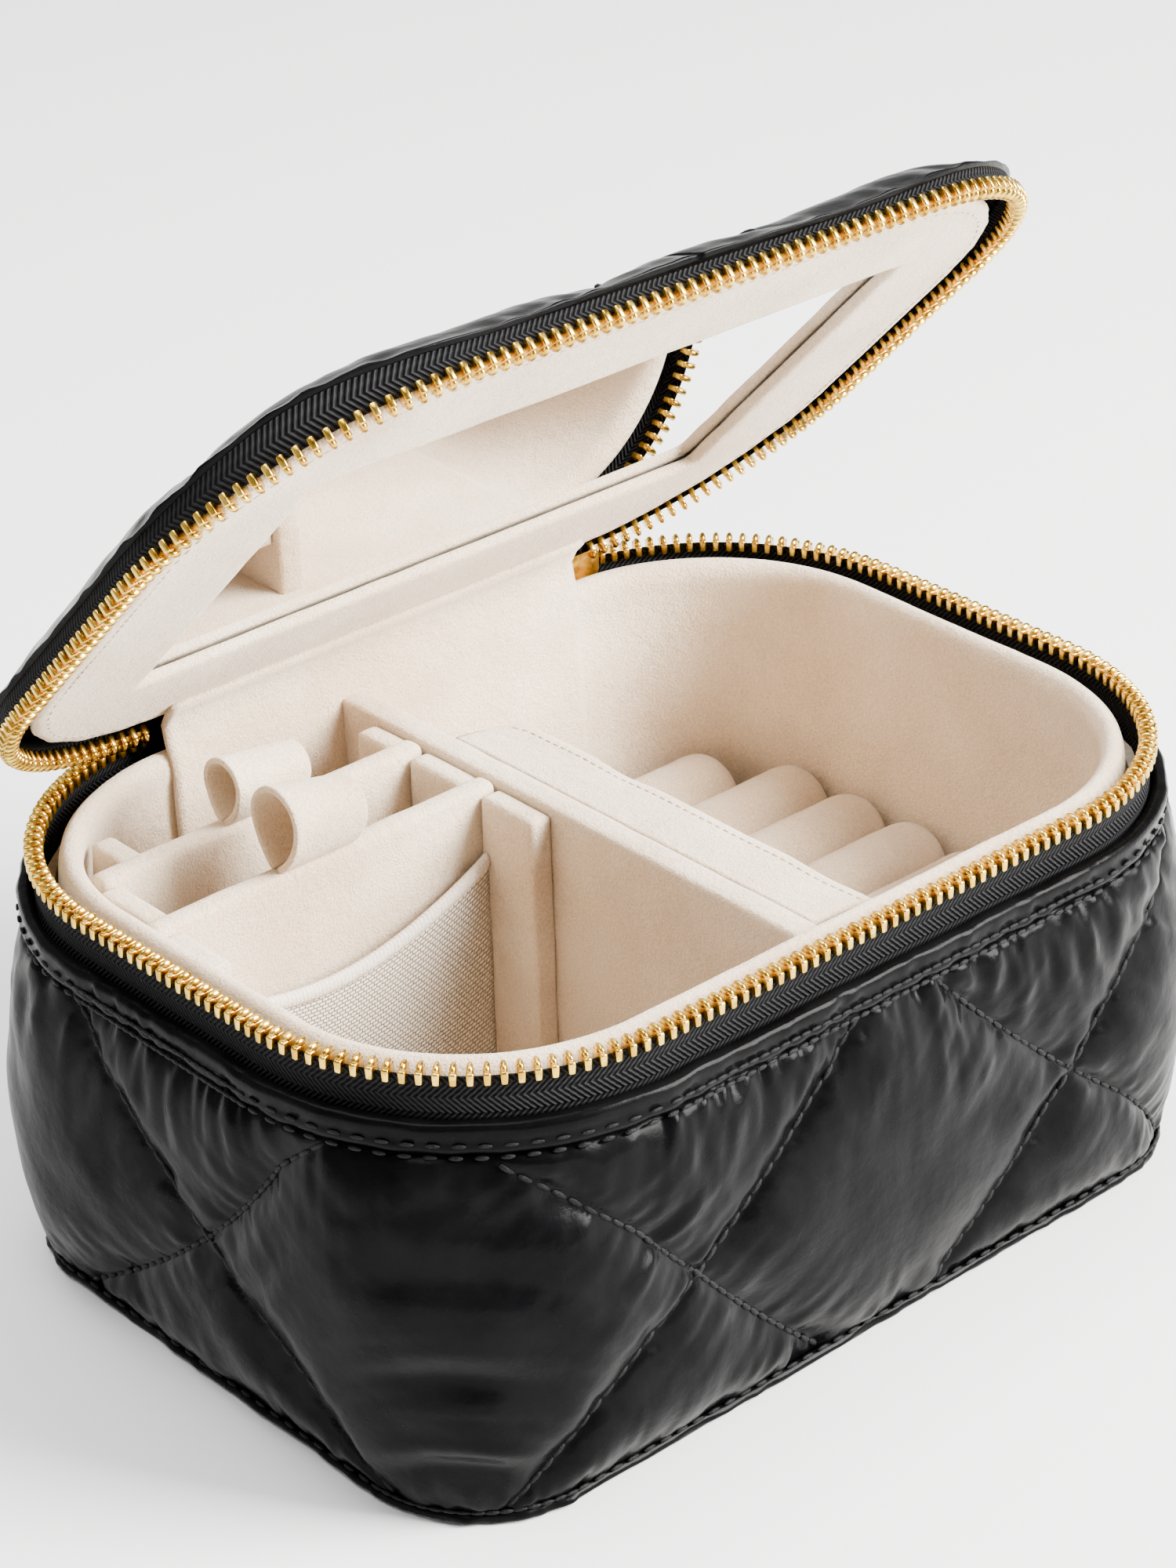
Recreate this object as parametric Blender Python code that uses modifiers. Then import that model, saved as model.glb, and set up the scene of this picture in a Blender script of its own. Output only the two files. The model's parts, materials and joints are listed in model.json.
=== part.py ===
"""Travel jewellery case: a quilted zip-round box with a mirror lid, dividers and ring rolls.

Metres, +Z up. The origin is the centre of the base's underside. The long sides run along X,
the lid hinges along the back (+Y) and is modelled open.
"""
import math

import bmesh
import bpy
from mathutils import Matrix, Vector

MM = 0.001

# Driving sizes, in millimetres.
RIM_WIDTH = 150.0          # zip line along X
RIM_DEPTH = 110.0          # zip line along Y
RIM_RADIUS = 36.4          # zip line corners
SPLIT_HEIGHT = 68.0        # plane where the two rows of teeth meet
BASE_WIDTH = 139.0         # the box tapers to this at the base
BASE_DEPTH = 100.0
BASE_RADIUS = 16.0
CLEARANCE = 0.3            # gap between touching pieces
LID_OPEN = 45.6            # degrees the lid stands open
AXIS_INSIDE_RIM = 0.8      # hinge line in front of the back zip line
AXIS_RISE = 3.6            # and above the plane of the teeth
CORNER_STEPS = 6           # faces in each quarter turn

BASE_SHEET = 1.2           # nylon base
BASE_SHEET_OUT = 0.2
PIPING_RADIUS = 1.1
PIPING_OUT = 1.6
BOARD_OUT = -0.5           # outer face of the stiff wall board
BOARD_THICK = 1.5
BOTTOM_BOARD_THICK = 1.5
LINING_OUT = -2.3
LINING_THICK = 3.0
FLOOR_THICK = 1.7
WALL_TOP = 60.0            # top of board, lining and padded cover
COVER_BASE_OUT = 2.4       # padded cover, how far its face stands out
COVER_BELLY_OUT = 3.5
COVER_TOP_OUT = 2.7
COVER_INNER = -0.2
BAND_IN = 0.9              # folded band below the zip
BAND_OUT = 2.7
BAND_TOP = 64.6
RIM_ROLL_OUT = -3.3        # padded roll inside the zip
RIM_ROLL_IN = -6.6
RIM_ROLL_TOP = 66.6

TAPE_THICK = 0.8
TAPE_CENTRE = 0.1
LOWER_TAPE_TOP = 65.2
LOWER_TAPE_BASE = 60.6
CHAIN_THICK = 2.8
CHAIN_HEIGHT = 2.3
UPPER_TAPE_BASE = 70.75
UPPER_TAPE_TOP = 73.6
HINGE_HALF = 36.5          # half length of the sewn hinge
ZIP_START_TURN = 20.0      # degrees round the corner past the slider
ZIP_END_TURN = 14.0

PANEL_FACE = 69.2          # suede face round the mirror
PANEL_THICK = 1.6
LID_INSIDE_OUT = -4.0      # panel and mirror surround against the zip line
MIRROR_WIDTH = 103.0       # seen through the panel
MIRROR_DEPTH = 61.0
MIRROR_THICK = 1.2
MIRROR_LAP = 3.0           # hidden behind the panel
LID_BOARD_THICK = 1.0
LID_BOARD_OUT = -1.0
LID_COVER_OUT = 2.2
LID_COVER_EDGE = 1.5
LID_COVER_CROWN = 3.0
LID_BACK_TRIM = 2.7        # the cover stops short at the hinge

DIVIDER_TOP = 65.0
DIVIDER_FACE = -8.0        # left face of the long divider
DIVIDER_THICK = 4.0
CROSS_THICK = 3.4
FRONT_CROSS = 14.2         # centre lines of the cross dividers
REAR_CROSS = 29.9
GUIDE_THICK = 3.6
GUIDE_SLACK = 0.35
GUIDE_WIDTH = 11.0
POCKET_TOP = 50.0
POCKET_DEPTH = 3.4
POCKET_WALL = 1.0
LOOP_RADIUS = 5.8
LOOP_WALL = 1.4
LOOP_LENGTH = 13.0
FRONT_LOOP_PLACE = -42.0   # along X
REAR_LOOP_PLACE = -39.0
FLAP_WIDTH = 11.0
FLAP_THICK = 1.6
FLAP_BACK = 27.0
FLAP_FRONT = -46.0
ROLL_COUNT = 7
ROLL_RADIUS = 6.1
ROLL_PITCH = 12.7
ROLL_BASE_TOP = 22.0

SLIDER_LENGTH = 9.0
SLIDER_BOTTOM = 64.9
SLIDER_TOP = 69.7
SLIDER_CHANNEL = 3.5       # between the two plates
SLIDER_PLATE = 1.2
SLIDER_START = 37.6        # along X
PULL_LENGTH = 27.0
PULL_WIDTH = 6.0
PULL_THICK = 1.2
PULL_TILT = 6.0            # degrees out from straight down
PULL_SLACK = 0.8           # between the tab's bar and the bail
PULL_WINDOW_HALF = 1.6
PULL_WINDOW_DROP = 4.6
BAIL_HEIGHT = 3.4
BAIL_HALF = 1.9
BAIL_WIRE = 0.6
BAIL_STEPS = 8

FLOOR_TOP = BASE_SHEET + BOTTOM_BOARD_THICK + FLOOR_THICK + 2 * CLEARANCE
LINING_FACE = LINING_OUT - LINING_THICK
DIVIDER_RIGHT = DIVIDER_FACE + DIVIDER_THICK
AXIS_Y = RIM_DEPTH / 2 - AXIS_INSIDE_RIM
AXIS_Z = SPLIT_HEIGHT + AXIS_RISE
SLIDER_MIDDLE = (SLIDER_BOTTOM + SLIDER_TOP) / 2
LID_TILT = -math.radians(LID_OPEN)


def clear_scene():
    for item in list(bpy.data.objects):
        bpy.data.objects.remove(item, do_unlink=True)


def new_collection(name):
    group = bpy.data.collections.new(name)
    bpy.context.scene.collection.children.link(group)
    return group


def finish_material(name, colour, roughness, metallic=0.0):
    material = bpy.data.materials.new(name)
    material.use_nodes = True
    shader = material.node_tree.nodes["Principled BSDF"]
    shader.inputs["Base Color"].default_value = (*colour, 1.0)
    shader.inputs["Roughness"].default_value = roughness
    shader.inputs["Metallic"].default_value = metallic
    return material


def add_object(name, mesh, colour, roughness, metallic=0.0, parent=None):
    """Put a finished mesh in the case, with a material of its own."""
    item = bpy.data.objects.new(name, mesh)
    mesh.materials.append(finish_material(name, colour, roughness, metallic))
    CASE.objects.link(item)
    if parent is not None:
        item.parent = parent
        item.matrix_parent_inverse = Matrix.Translation(-parent.location)
    return item


def to_mesh(name, bm):
    bmesh.ops.recalc_face_normals(bm, faces=bm.faces)
    bmesh.ops.scale(bm, vec=Vector((MM, MM, MM)), verts=bm.verts)
    mesh = bpy.data.meshes.new(name)
    bm.to_mesh(mesh)
    bm.free()
    return mesh


def wall_plan(height, out):
    """Width, depth and corner radius of the tapered box at a height, moved out from its face."""
    share = height / SPLIT_HEIGHT
    width = BASE_WIDTH + (RIM_WIDTH - BASE_WIDTH) * share
    depth = BASE_DEPTH + (RIM_DEPTH - BASE_DEPTH) * share
    radius = BASE_RADIUS + (RIM_RADIUS - BASE_RADIUS) * share
    return width + 2 * out, depth + 2 * out, radius + out


def rim_plan(out):
    return RIM_WIDTH + 2 * out, RIM_DEPTH + 2 * out, RIM_RADIUS + out


def reach_at(plan, y):
    """How far a rounded rectangle reaches along X at a distance y from its middle."""
    width, depth, radius = plan
    past = max(0.0, abs(y) - (depth / 2 - radius))
    return width / 2 - radius + math.sqrt(radius * radius - past * past)


def wall_reach(height, y):
    """Free space from the middle to the lining, or to the rim roll above it."""
    if height > WALL_TOP:
        return min(reach_at(wall_plan(WALL_TOP, LINING_FACE), y), reach_at(rim_plan(RIM_ROLL_IN), y))
    return reach_at(wall_plan(height, LINING_FACE), y)


def lean_to_wall(bm, y):
    """Move a piece so that its left face, drawn at x = 0, follows the lining's slope."""
    for vert in bm.verts:
        vert.co.x += 2 * CLEARANCE - wall_reach(vert.co.z, y)


def lining_back(height):
    return wall_plan(height, LINING_FACE)[1] / 2


def corner_arc(width, depth, radius, sign_x, sign_y, first, last):
    """Points of one rounded corner, between two angles in degrees."""
    points = []
    for step in range(CORNER_STEPS + 1):
        turn = math.radians(first + (last - first) * step / CORNER_STEPS)
        x = sign_x * (width / 2 - radius) + radius * math.cos(turn)
        y = sign_y * (depth / 2 - radius) + radius * math.sin(turn)
        points.append((x, y))
    return points


def outline(width, depth, radius):
    """A closed rounded rectangle, anticlockwise."""
    points = []
    for sign_x, sign_y, first in ((1, 1, 0), (-1, 1, 90), (-1, -1, 180), (1, -1, 270)):
        points += corner_arc(width, depth, radius, sign_x, sign_y, first, first + 90)
    return points


def zip_path(out):
    """The zip's run: from the slider round the right, front and left sides to the hinge."""
    width, depth, radius = rim_plan(out)
    points = corner_arc(width, depth, radius, 1, 1, 90 - ZIP_START_TURN, 0)
    points += corner_arc(width, depth, radius, 1, -1, 0, -90)
    points += corner_arc(width, depth, radius, -1, -1, -90, -180)
    points += corner_arc(width, depth, radius, -1, 1, 180, 90 + ZIP_END_TURN)
    return points


def add_loop(bm, points, height):
    return [bm.verts.new((x, y, height)) for x, y in points]


def trimmed_back(bm, trim):
    """Bring the back edge of a plate forward, leaving its front where it is."""
    span = max(vert.co.y for vert in bm.verts) - min(vert.co.y for vert in bm.verts)
    front = min(vert.co.y for vert in bm.verts)
    for vert in bm.verts:
        vert.co.y = front + (vert.co.y - front) * (span - trim) / span
    return bm


def lofted(sections, hollow=False):
    """Loft unlike rounded sections into a solid; a hollow one closes back on its first section."""
    bm = bmesh.new()
    loops = [add_loop(bm, outline(*plan), height) for *plan, height in sections]
    pairs = list(zip(loops, loops[1:]))
    if hollow:
        pairs.append((loops[-1], loops[0]))
    else:
        bm.faces.new(loops[0])
        bm.faces.new(loops[-1])
    for lower, upper in pairs:
        for number, corner in enumerate(lower):
            bm.faces.new((lower[number - 1], corner, upper[number], upper[number - 1]))
    return bm


def tapered_ring(heights, outs, inner):
    """A wall round the box: outer faces at the given heights and an inner face at one offset."""
    sections = [(*wall_plan(height, out), height) for height, out in zip(heights, outs)]
    sections.append((*wall_plan(heights[-1], inner), heights[-1]))
    sections.append((*wall_plan(heights[0], inner), heights[0]))
    return lofted(sections, hollow=True)


def straight_ring(outer, inner, low, high):
    return lofted([(*outer, low), (*outer, high), (*inner, high), (*inner, low)], hollow=True)


def plate(plan, low, high):
    return lofted([(*plan, low), (*plan, high)])


def ribbon(points, low, high):
    """An upright open strip through the points, for a Solidify modifier."""
    bm = bmesh.new()
    verts = [bm.verts.new((x, y, low)) for x, y in points]
    edges = [bm.edges.new((a, b)) for a, b in zip(verts, verts[1:])]
    risen = bmesh.ops.extrude_edge_only(bm, edges=edges)["geom"]
    top = [item for item in risen if isinstance(item, bmesh.types.BMVert)]
    bmesh.ops.translate(bm, verts=top, vec=(0, 0, high - low))
    return bm


def thicken(item, thickness):
    wall = item.modifiers.new("thickness", "SOLIDIFY")
    wall.thickness = thickness * MM
    wall.offset = 0.0
    wall.use_even_offset = True


def block(low, high):
    """A box between two corners."""
    bm = bmesh.new()
    bmesh.ops.create_cube(bm, size=1.0)
    size = Vector(high) - Vector(low)
    bmesh.ops.scale(bm, vec=size, verts=bm.verts)
    bmesh.ops.translate(bm, verts=bm.verts, vec=(Vector(low) + Vector(high)) / 2)
    return bm


def empty_at(name, place, parent=None):
    pivot = bpy.data.objects.new(name, None)
    CASE.objects.link(pivot)
    pivot.location = Vector(place) * MM
    if parent is not None:
        pivot.parent = parent
        pivot.matrix_parent_inverse = Matrix.Translation(-parent.location)
    return pivot


def cut(item, name, cutter_mesh):
    """Take a cutter's shape out of a piece."""
    cutter = bpy.data.objects.new(name, cutter_mesh)
    CUTTERS.objects.link(cutter)
    cutter.hide_render = True
    cutter.display_type = "WIRE"
    cutter.parent = item.parent
    cutter.matrix_parent_inverse = item.matrix_parent_inverse
    hole = item.modifiers.new(name, "BOOLEAN")
    hole.operation = "DIFFERENCE"
    hole.solver = "EXACT"
    hole.object = cutter


BLACK = (0.012, 0.012, 0.013)
CREAM = (0.86, 0.78, 0.70)
BOARD = (0.45, 0.40, 0.34)
GOLD = (0.83, 0.60, 0.27)


def make_base():
    add_object("bottom_cover", to_mesh("bottom_cover", plate(wall_plan(0, BASE_SHEET_OUT), 0, BASE_SHEET)),
               BLACK, 0.4)
    low = BASE_SHEET + CLEARANCE
    high = low + BOTTOM_BOARD_THICK
    inside_wall = BOARD_OUT - BOARD_THICK - CLEARANCE
    add_object("bottom_board", to_mesh("bottom_board", plate(wall_plan(low, inside_wall), low, high)),
               BOARD, 0.9)
    low = high + CLEARANCE
    add_object("floor_lining", to_mesh("floor_lining", plate(wall_plan(low, inside_wall), low, FLOOR_TOP)),
               CREAM, 0.95)


def make_piping():
    """The welt is a round cord sewn into the bottom edge."""
    curve = bpy.data.curves.new("bottom_piping", "CURVE")
    curve.dimensions = "3D"
    curve.bevel_depth = PIPING_RADIUS * MM
    curve.bevel_resolution = 1
    spline = curve.splines.new("POLY")
    points = outline(*wall_plan(0, PIPING_OUT))
    spline.points.add(len(points) - 1)
    for point, (x, y) in zip(spline.points, points):
        point.co = (x * MM, y * MM, (PIPING_RADIUS + CLEARANCE) * MM, 1)
    spline.use_cyclic_u = True
    add_object("bottom_piping", curve, BLACK, 0.35)


def make_walls():
    stand = 2 * (PIPING_RADIUS + CLEARANCE)
    board_base = BASE_SHEET + CLEARANCE
    heights = (stand + CLEARANCE, WALL_TOP * 0.3, WALL_TOP * 0.7, WALL_TOP)
    outs = (COVER_BASE_OUT, COVER_BELLY_OUT, COVER_BELLY_OUT, COVER_TOP_OUT)
    cover = tapered_ring(heights, outs, COVER_INNER)
    add_object("quilted_wall_cover", to_mesh("quilted_wall_cover", cover), BLACK, 0.38)
    board = tapered_ring((board_base, WALL_TOP), (BOARD_OUT, BOARD_OUT), BOARD_OUT - BOARD_THICK)
    add_object("wall_board", to_mesh("wall_board", board), BOARD, 0.9)
    low = FLOOR_TOP + CLEARANCE
    lining = tapered_ring((low, WALL_TOP), (LINING_OUT, LINING_OUT), LINING_FACE)
    add_object("wall_lining", to_mesh("wall_lining", lining), CREAM, 0.95)


def make_rim():
    low = WALL_TOP + CLEARANCE
    band = straight_ring(rim_plan(BAND_OUT), rim_plan(BAND_IN), low, BAND_TOP)
    add_object("rim_band", to_mesh("rim_band", band), BLACK, 0.4)
    chamfer = 1.0
    outer = rim_plan(RIM_ROLL_OUT)
    inner = rim_plan(RIM_ROLL_IN)
    roll = lofted([
        (*outer, low), (*outer, RIM_ROLL_TOP - chamfer), (*rim_plan(RIM_ROLL_OUT - chamfer), RIM_ROLL_TOP),
        (*rim_plan(RIM_ROLL_IN + chamfer), RIM_ROLL_TOP), (*inner, RIM_ROLL_TOP - chamfer), (*inner, low),
    ], hollow=True)
    add_object("lining_rim_roll", to_mesh("lining_rim_roll", roll), CREAM, 0.95)


def make_zip(level, tape_low, tape_high, chain_low, parent=None):
    """One side of the zip: its woven tape and its row of teeth."""
    path = zip_path(TAPE_CENTRE)
    name = level + "_zip_tape"
    tape = add_object(name, to_mesh(name, ribbon(path, tape_low, tape_high)), BLACK, 0.85, 0, parent)
    thicken(tape, TAPE_THICK)
    name = level + "_zip_chain"
    rise = chain_low + CHAIN_HEIGHT
    chain = add_object(name, to_mesh(name, ribbon(zip_path(0), chain_low, rise)), GOLD, 0.3, 1, parent)
    thicken(chain, CHAIN_THICK)


def make_main_divider():
    """The long divider follows the lining's slope at both ends."""
    low = FLOOR_TOP + CLEARANCE
    reach_low = lining_back(low) - CLEARANCE
    reach_high = lining_back(WALL_TOP) - CLEARANCE
    reach_top = rim_plan(RIM_ROLL_IN)[1] / 2 - CLEARANCE
    bm = block((DIVIDER_FACE, -1, low), (DIVIDER_RIGHT, 1, DIVIDER_TOP))
    bmesh.ops.bisect_plane(bm, geom=bm.verts[:] + bm.edges[:] + bm.faces[:], plane_co=(0, 0, WALL_TOP),
                           plane_no=(0, 0, 1))
    for vert in bm.verts:
        if vert.co.z > WALL_TOP + 1:
            reach = reach_top
        elif vert.co.z > WALL_TOP - 1:
            reach = min(reach_high, reach_top)
        else:
            reach = reach_low
        vert.co.y = math.copysign(reach, vert.co.y)
    add_object("main_divider", to_mesh("main_divider", bm), CREAM, 0.95)


def guide_rows():
    """Depths of the guides that hold the two cross dividers: front, middle and rear."""
    half = CROSS_THICK / 2 + GUIDE_SLACK
    front_end = FRONT_CROSS - half
    middle = (FRONT_CROSS + half, REAR_CROSS - half)
    rear_start = REAR_CROSS + half
    return {"front": (front_end - GUIDE_WIDTH, front_end), "middle": middle,
            "rear": (rear_start, rear_start + GUIDE_WIDTH * 0.7)}


def make_guides():
    low = FLOOR_TOP + CLEARANCE
    for row, (near, far) in guide_rows().items():
        name = "divider_guide_" + row
        right = DIVIDER_FACE - CLEARANCE
        bm = block((right - GUIDE_THICK, near, low), (right, far, DIVIDER_TOP - 1))
        add_object(name, to_mesh(name, bm), CREAM, 0.95)
        name = "wall_guide_" + row
        bm = block((0, near, low), (GUIDE_THICK, far, DIVIDER_TOP - 1))
        lean_to_wall(bm, far)
        add_object(name, to_mesh(name, bm), CREAM, 0.95)


def make_cross_divider(name, depth):
    low = FLOOR_TOP + CLEARANCE
    pivot = empty_at(name + "_slide", (DIVIDER_FACE, depth, low))
    right = DIVIDER_FACE - 2 * CLEARANCE
    half = CROSS_THICK / 2
    bm = block((0, depth - half, low), (1, depth + half, DIVIDER_TOP))
    for vert in bm.verts:
        if vert.co.x > 0.5:
            vert.co.x = right
        else:
            vert.co.x = 2 * CLEARANCE - wall_reach(vert.co.z, depth + half)
    add_object(name, to_mesh(name, bm), CREAM, 0.95, 0, pivot)
    return pivot


def make_finger_loop(name, place, depth, pivot):
    """A strip of suede rolled into a tube on the divider's top edge."""
    bm = bmesh.new()
    ring = bmesh.ops.create_circle(bm, segments=16, radius=LOOP_RADIUS - LOOP_WALL / 2)
    bmesh.ops.rotate(bm, verts=ring["verts"], cent=(0, 0, 0), matrix=Matrix.Rotation(math.pi / 2, 3, "Y"))
    centre = DIVIDER_TOP + CLEARANCE + LOOP_RADIUS
    bmesh.ops.translate(bm, verts=bm.verts, vec=(place - LOOP_LENGTH / 2, depth, centre))
    grown = bmesh.ops.extrude_edge_only(bm, edges=bm.edges[:])["geom"]
    far = [item for item in grown if isinstance(item, bmesh.types.BMVert)]
    bmesh.ops.translate(bm, verts=far, vec=(LOOP_LENGTH, 0, 0))
    loop = add_object(name, to_mesh(name, bm), CREAM, 0.95, 0, pivot)
    thicken(loop, LOOP_WALL)


def make_elastic_pocket(pivot):
    """An open-topped elastic pocket on the front face of the front cross divider."""
    low = FLOOR_TOP + CLEARANCE
    rows = guide_rows()
    face = FRONT_CROSS - CROSS_THICK / 2 - CLEARANCE
    left = GUIDE_THICK + 3 * CLEARANCE - wall_reach(low, rows["front"][1])
    right = DIVIDER_FACE - GUIDE_THICK - 2 * CLEARANCE
    bm = block((left, face - POCKET_DEPTH, low), (right, face, POCKET_TOP))
    pocket = add_object("elastic_pocket", to_mesh("elastic_pocket", bm), CREAM, 0.9, 0, pivot)
    inside = block((left + POCKET_WALL, face - POCKET_DEPTH + POCKET_WALL, low + POCKET_WALL),
                   (right - POCKET_WALL, face + POCKET_WALL, POCKET_TOP + POCKET_WALL))
    cut(pocket, "pocket_space", to_mesh("pocket_space", inside))


def make_flap():
    """A suede flap sewn along the long divider's top, lying over the ring rolls' left ends."""
    line = DIVIDER_RIGHT + CLEARANCE
    top = DIVIDER_TOP - CLEARANCE
    pivot = empty_at("divider_flap_fold", (line, 0, top))
    bm = block((line, FLAP_FRONT, top - FLAP_THICK), (line + FLAP_WIDTH, FLAP_BACK, top))
    corners = [edge for edge in bm.edges if all(vert.co.x > line + 1 for vert in edge.verts)
               and abs(edge.verts[0].co.z - edge.verts[1].co.z) > FLAP_THICK / 2]
    bmesh.ops.bevel(bm, geom=corners, offset=FLAP_WIDTH / 2, segments=4, profile=0.5, affect="EDGES",
                    material=-1)
    add_object("divider_flap", to_mesh("divider_flap", bm), CREAM, 0.95, 0, pivot)


def make_ring_rolls():
    """Seven foam rolls across the right side, on a padded base."""
    low = FLOOR_TOP + CLEARANCE
    bm = lofted([(*wall_plan(low, LINING_FACE - CLEARANCE), low),
                 (*wall_plan(ROLL_BASE_TOP, LINING_FACE - CLEARANCE), ROLL_BASE_TOP)])
    start = DIVIDER_RIGHT + CLEARANCE
    cuts = bmesh.ops.bisect_plane(bm, geom=bm.verts[:] + bm.edges[:] + bm.faces[:], plane_co=(start, 0, 0),
                                  plane_no=(-1, 0, 0), clear_outer=True)["geom_cut"]
    rim = [item for item in cuts if isinstance(item, bmesh.types.BMEdge)]
    bmesh.ops.contextual_create(bm, geom=rim)
    add_object("ring_roll_base", to_mesh("ring_roll_base", bm), CREAM, 0.95)
    middle = ROLL_BASE_TOP + CLEARANCE + ROLL_RADIUS
    for number in range(ROLL_COUNT):
        y = (number - (ROLL_COUNT - 1) / 2) * ROLL_PITCH
        end = wall_reach(ROLL_BASE_TOP, abs(y) + ROLL_RADIUS * 0.85) - 2 * CLEARANCE
        length = end - start
        bm = bmesh.new()
        bmesh.ops.create_cone(bm, cap_ends=True, segments=14, radius1=ROLL_RADIUS, radius2=ROLL_RADIUS,
                              depth=length)
        caps = [edge for edge in bm.edges if abs(edge.verts[0].co.z - edge.verts[1].co.z) < 1]
        bmesh.ops.bevel(bm, geom=caps, offset=ROLL_RADIUS / 2, segments=3, profile=0.5, affect="EDGES",
                        material=-1)
        bmesh.ops.rotate(bm, verts=bm.verts, cent=(0, 0, 0), matrix=Matrix.Rotation(math.pi / 2, 3, "Y"))
        bmesh.ops.translate(bm, verts=bm.verts, vec=(start + length / 2, y, middle))
        name = "ring_roll_" + str(number + 1)
        add_object(name, to_mesh(name, bm), CREAM, 0.95)


def make_hinge(lid):
    """Fabric strips along the back: a body half and a lid half that meet below the hinge line."""
    low = WALL_TOP + CLEARANCE
    edge = RIM_DEPTH / 2 + BAND_IN - CLEARANCE
    strip = block((-HINGE_HALF, edge - TAPE_THICK, low), (HINGE_HALF, edge, LOWER_TAPE_TOP))
    add_object("hinge_strip_lower", to_mesh("hinge_strip_lower", strip), BLACK, 0.8)
    strip = block((-HINGE_HALF, AXIS_Y + 0.4, UPPER_TAPE_BASE), (HINGE_HALF, AXIS_Y + 1.2, UPPER_TAPE_TOP))
    add_object("hinge_strip_upper", to_mesh("hinge_strip_upper", strip), BLACK, 0.8, 0, lid)
    inner = RIM_DEPTH / 2 + RIM_ROLL_OUT + CLEARANCE
    strip = block((-HINGE_HALF, inner, low), (HINGE_HALF, inner + 1.2, SPLIT_HEIGHT - 0.5))
    add_object("hinge_lining", to_mesh("hinge_lining", strip), CREAM, 0.95)


def make_lid(lid):
    inside = rim_plan(LID_INSIDE_OUT)
    opening = (MIRROR_WIDTH, MIRROR_DEPTH, 1.5)
    panel_top = PANEL_FACE + PANEL_THICK
    panel = straight_ring(inside, opening, PANEL_FACE, panel_top)
    add_object("mirror_frame_panel", to_mesh("mirror_frame_panel", panel), CREAM, 0.95, 0, lid)
    mirror = (MIRROR_WIDTH + 2 * MIRROR_LAP, MIRROR_DEPTH + 2 * MIRROR_LAP, 2.0)
    low = panel_top + CLEARANCE
    high = low + MIRROR_THICK
    add_object("mirror", to_mesh("mirror", plate(mirror, low, high)), (0.9, 0.92, 0.93), 0.02, 1, lid)
    seat = tuple(size + 2 * CLEARANCE for size in mirror)
    surround = straight_ring(inside, seat, low, high)
    add_object("mirror_surround_board", to_mesh("mirror_surround_board", surround), BOARD, 0.9, 0, lid)
    low = high + CLEARANCE
    high = low + LID_BOARD_THICK
    board = plate(rim_plan(LID_BOARD_OUT), low, high)
    add_object("lid_board", to_mesh("lid_board", board), BOARD, 0.9, 0, lid)
    low = max(high, UPPER_TAPE_TOP) + CLEARANCE
    edge = low + LID_COVER_EDGE
    sections = [(*rim_plan(LID_COVER_OUT - 0.8), low), (*rim_plan(LID_COVER_OUT), low + LID_COVER_EDGE / 2),
                (*rim_plan(LID_COVER_OUT - 1.5), edge), (*rim_plan(-14.0), edge + LID_COVER_CROWN)]
    cover = trimmed_back(lofted(sections), LID_BACK_TRIM)
    add_object("quilted_lid_cover", to_mesh("quilted_lid_cover", cover), BLACK, 0.38, 0, lid)


def make_slider():
    """Brass slider parked past the last teeth, with a bail on its outer plate and a pull tab."""
    centre_x = SLIDER_START + SLIDER_LENGTH / 2
    line = RIM_DEPTH / 2
    half = SLIDER_CHANNEL / 2 + SLIDER_PLATE
    pivot = empty_at("zip_slider_travel", (centre_x, line, SLIDER_MIDDLE))
    bm = block((SLIDER_START, line - half, SLIDER_BOTTOM),
               (SLIDER_START + SLIDER_LENGTH, line + half, SLIDER_TOP))
    ends = [edge for edge in bm.edges if abs(edge.verts[0].co.y - edge.verts[1].co.y) > 1]
    bmesh.ops.bevel(bm, geom=ends, offset=1.4, segments=3, profile=0.5, affect="EDGES", material=-1)
    body = add_object("zip_slider_body", to_mesh("zip_slider_body", bm), GOLD, 0.28, 1, pivot)
    nose = 2.4
    channel = block((SLIDER_START + nose, line - SLIDER_CHANNEL / 2, SLIDER_BOTTOM - 1),
                    (SLIDER_START + SLIDER_LENGTH + 1, line + SLIDER_CHANNEL / 2, SLIDER_TOP + 1))
    cut(body, "slider_channel", to_mesh("slider_channel", channel))
    outer_plate = line + half + CLEARANCE
    curve = bpy.data.curves.new("zip_slider_bail", "CURVE")
    curve.dimensions = "3D"
    curve.bevel_depth = BAIL_WIRE * MM
    curve.bevel_resolution = 1
    curve.use_fill_caps = True
    spline = curve.splines.new("POLY")
    spline.points.add(BAIL_STEPS)
    for number, point in enumerate(spline.points):
        turn = math.pi * number / BAIL_STEPS
        y = outer_plate + BAIL_HEIGHT * math.sin(turn)
        z = SLIDER_MIDDLE - BAIL_HALF * math.cos(turn)
        point.co = (centre_x * MM, y * MM, z * MM, 1)
    add_object("zip_slider_bail", curve, GOLD, 0.28, 1, pivot)
    make_pull(centre_x, outer_plate + BAIL_HEIGHT - BAIL_WIRE - PULL_SLACK - PULL_THICK / 2, pivot)


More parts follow.
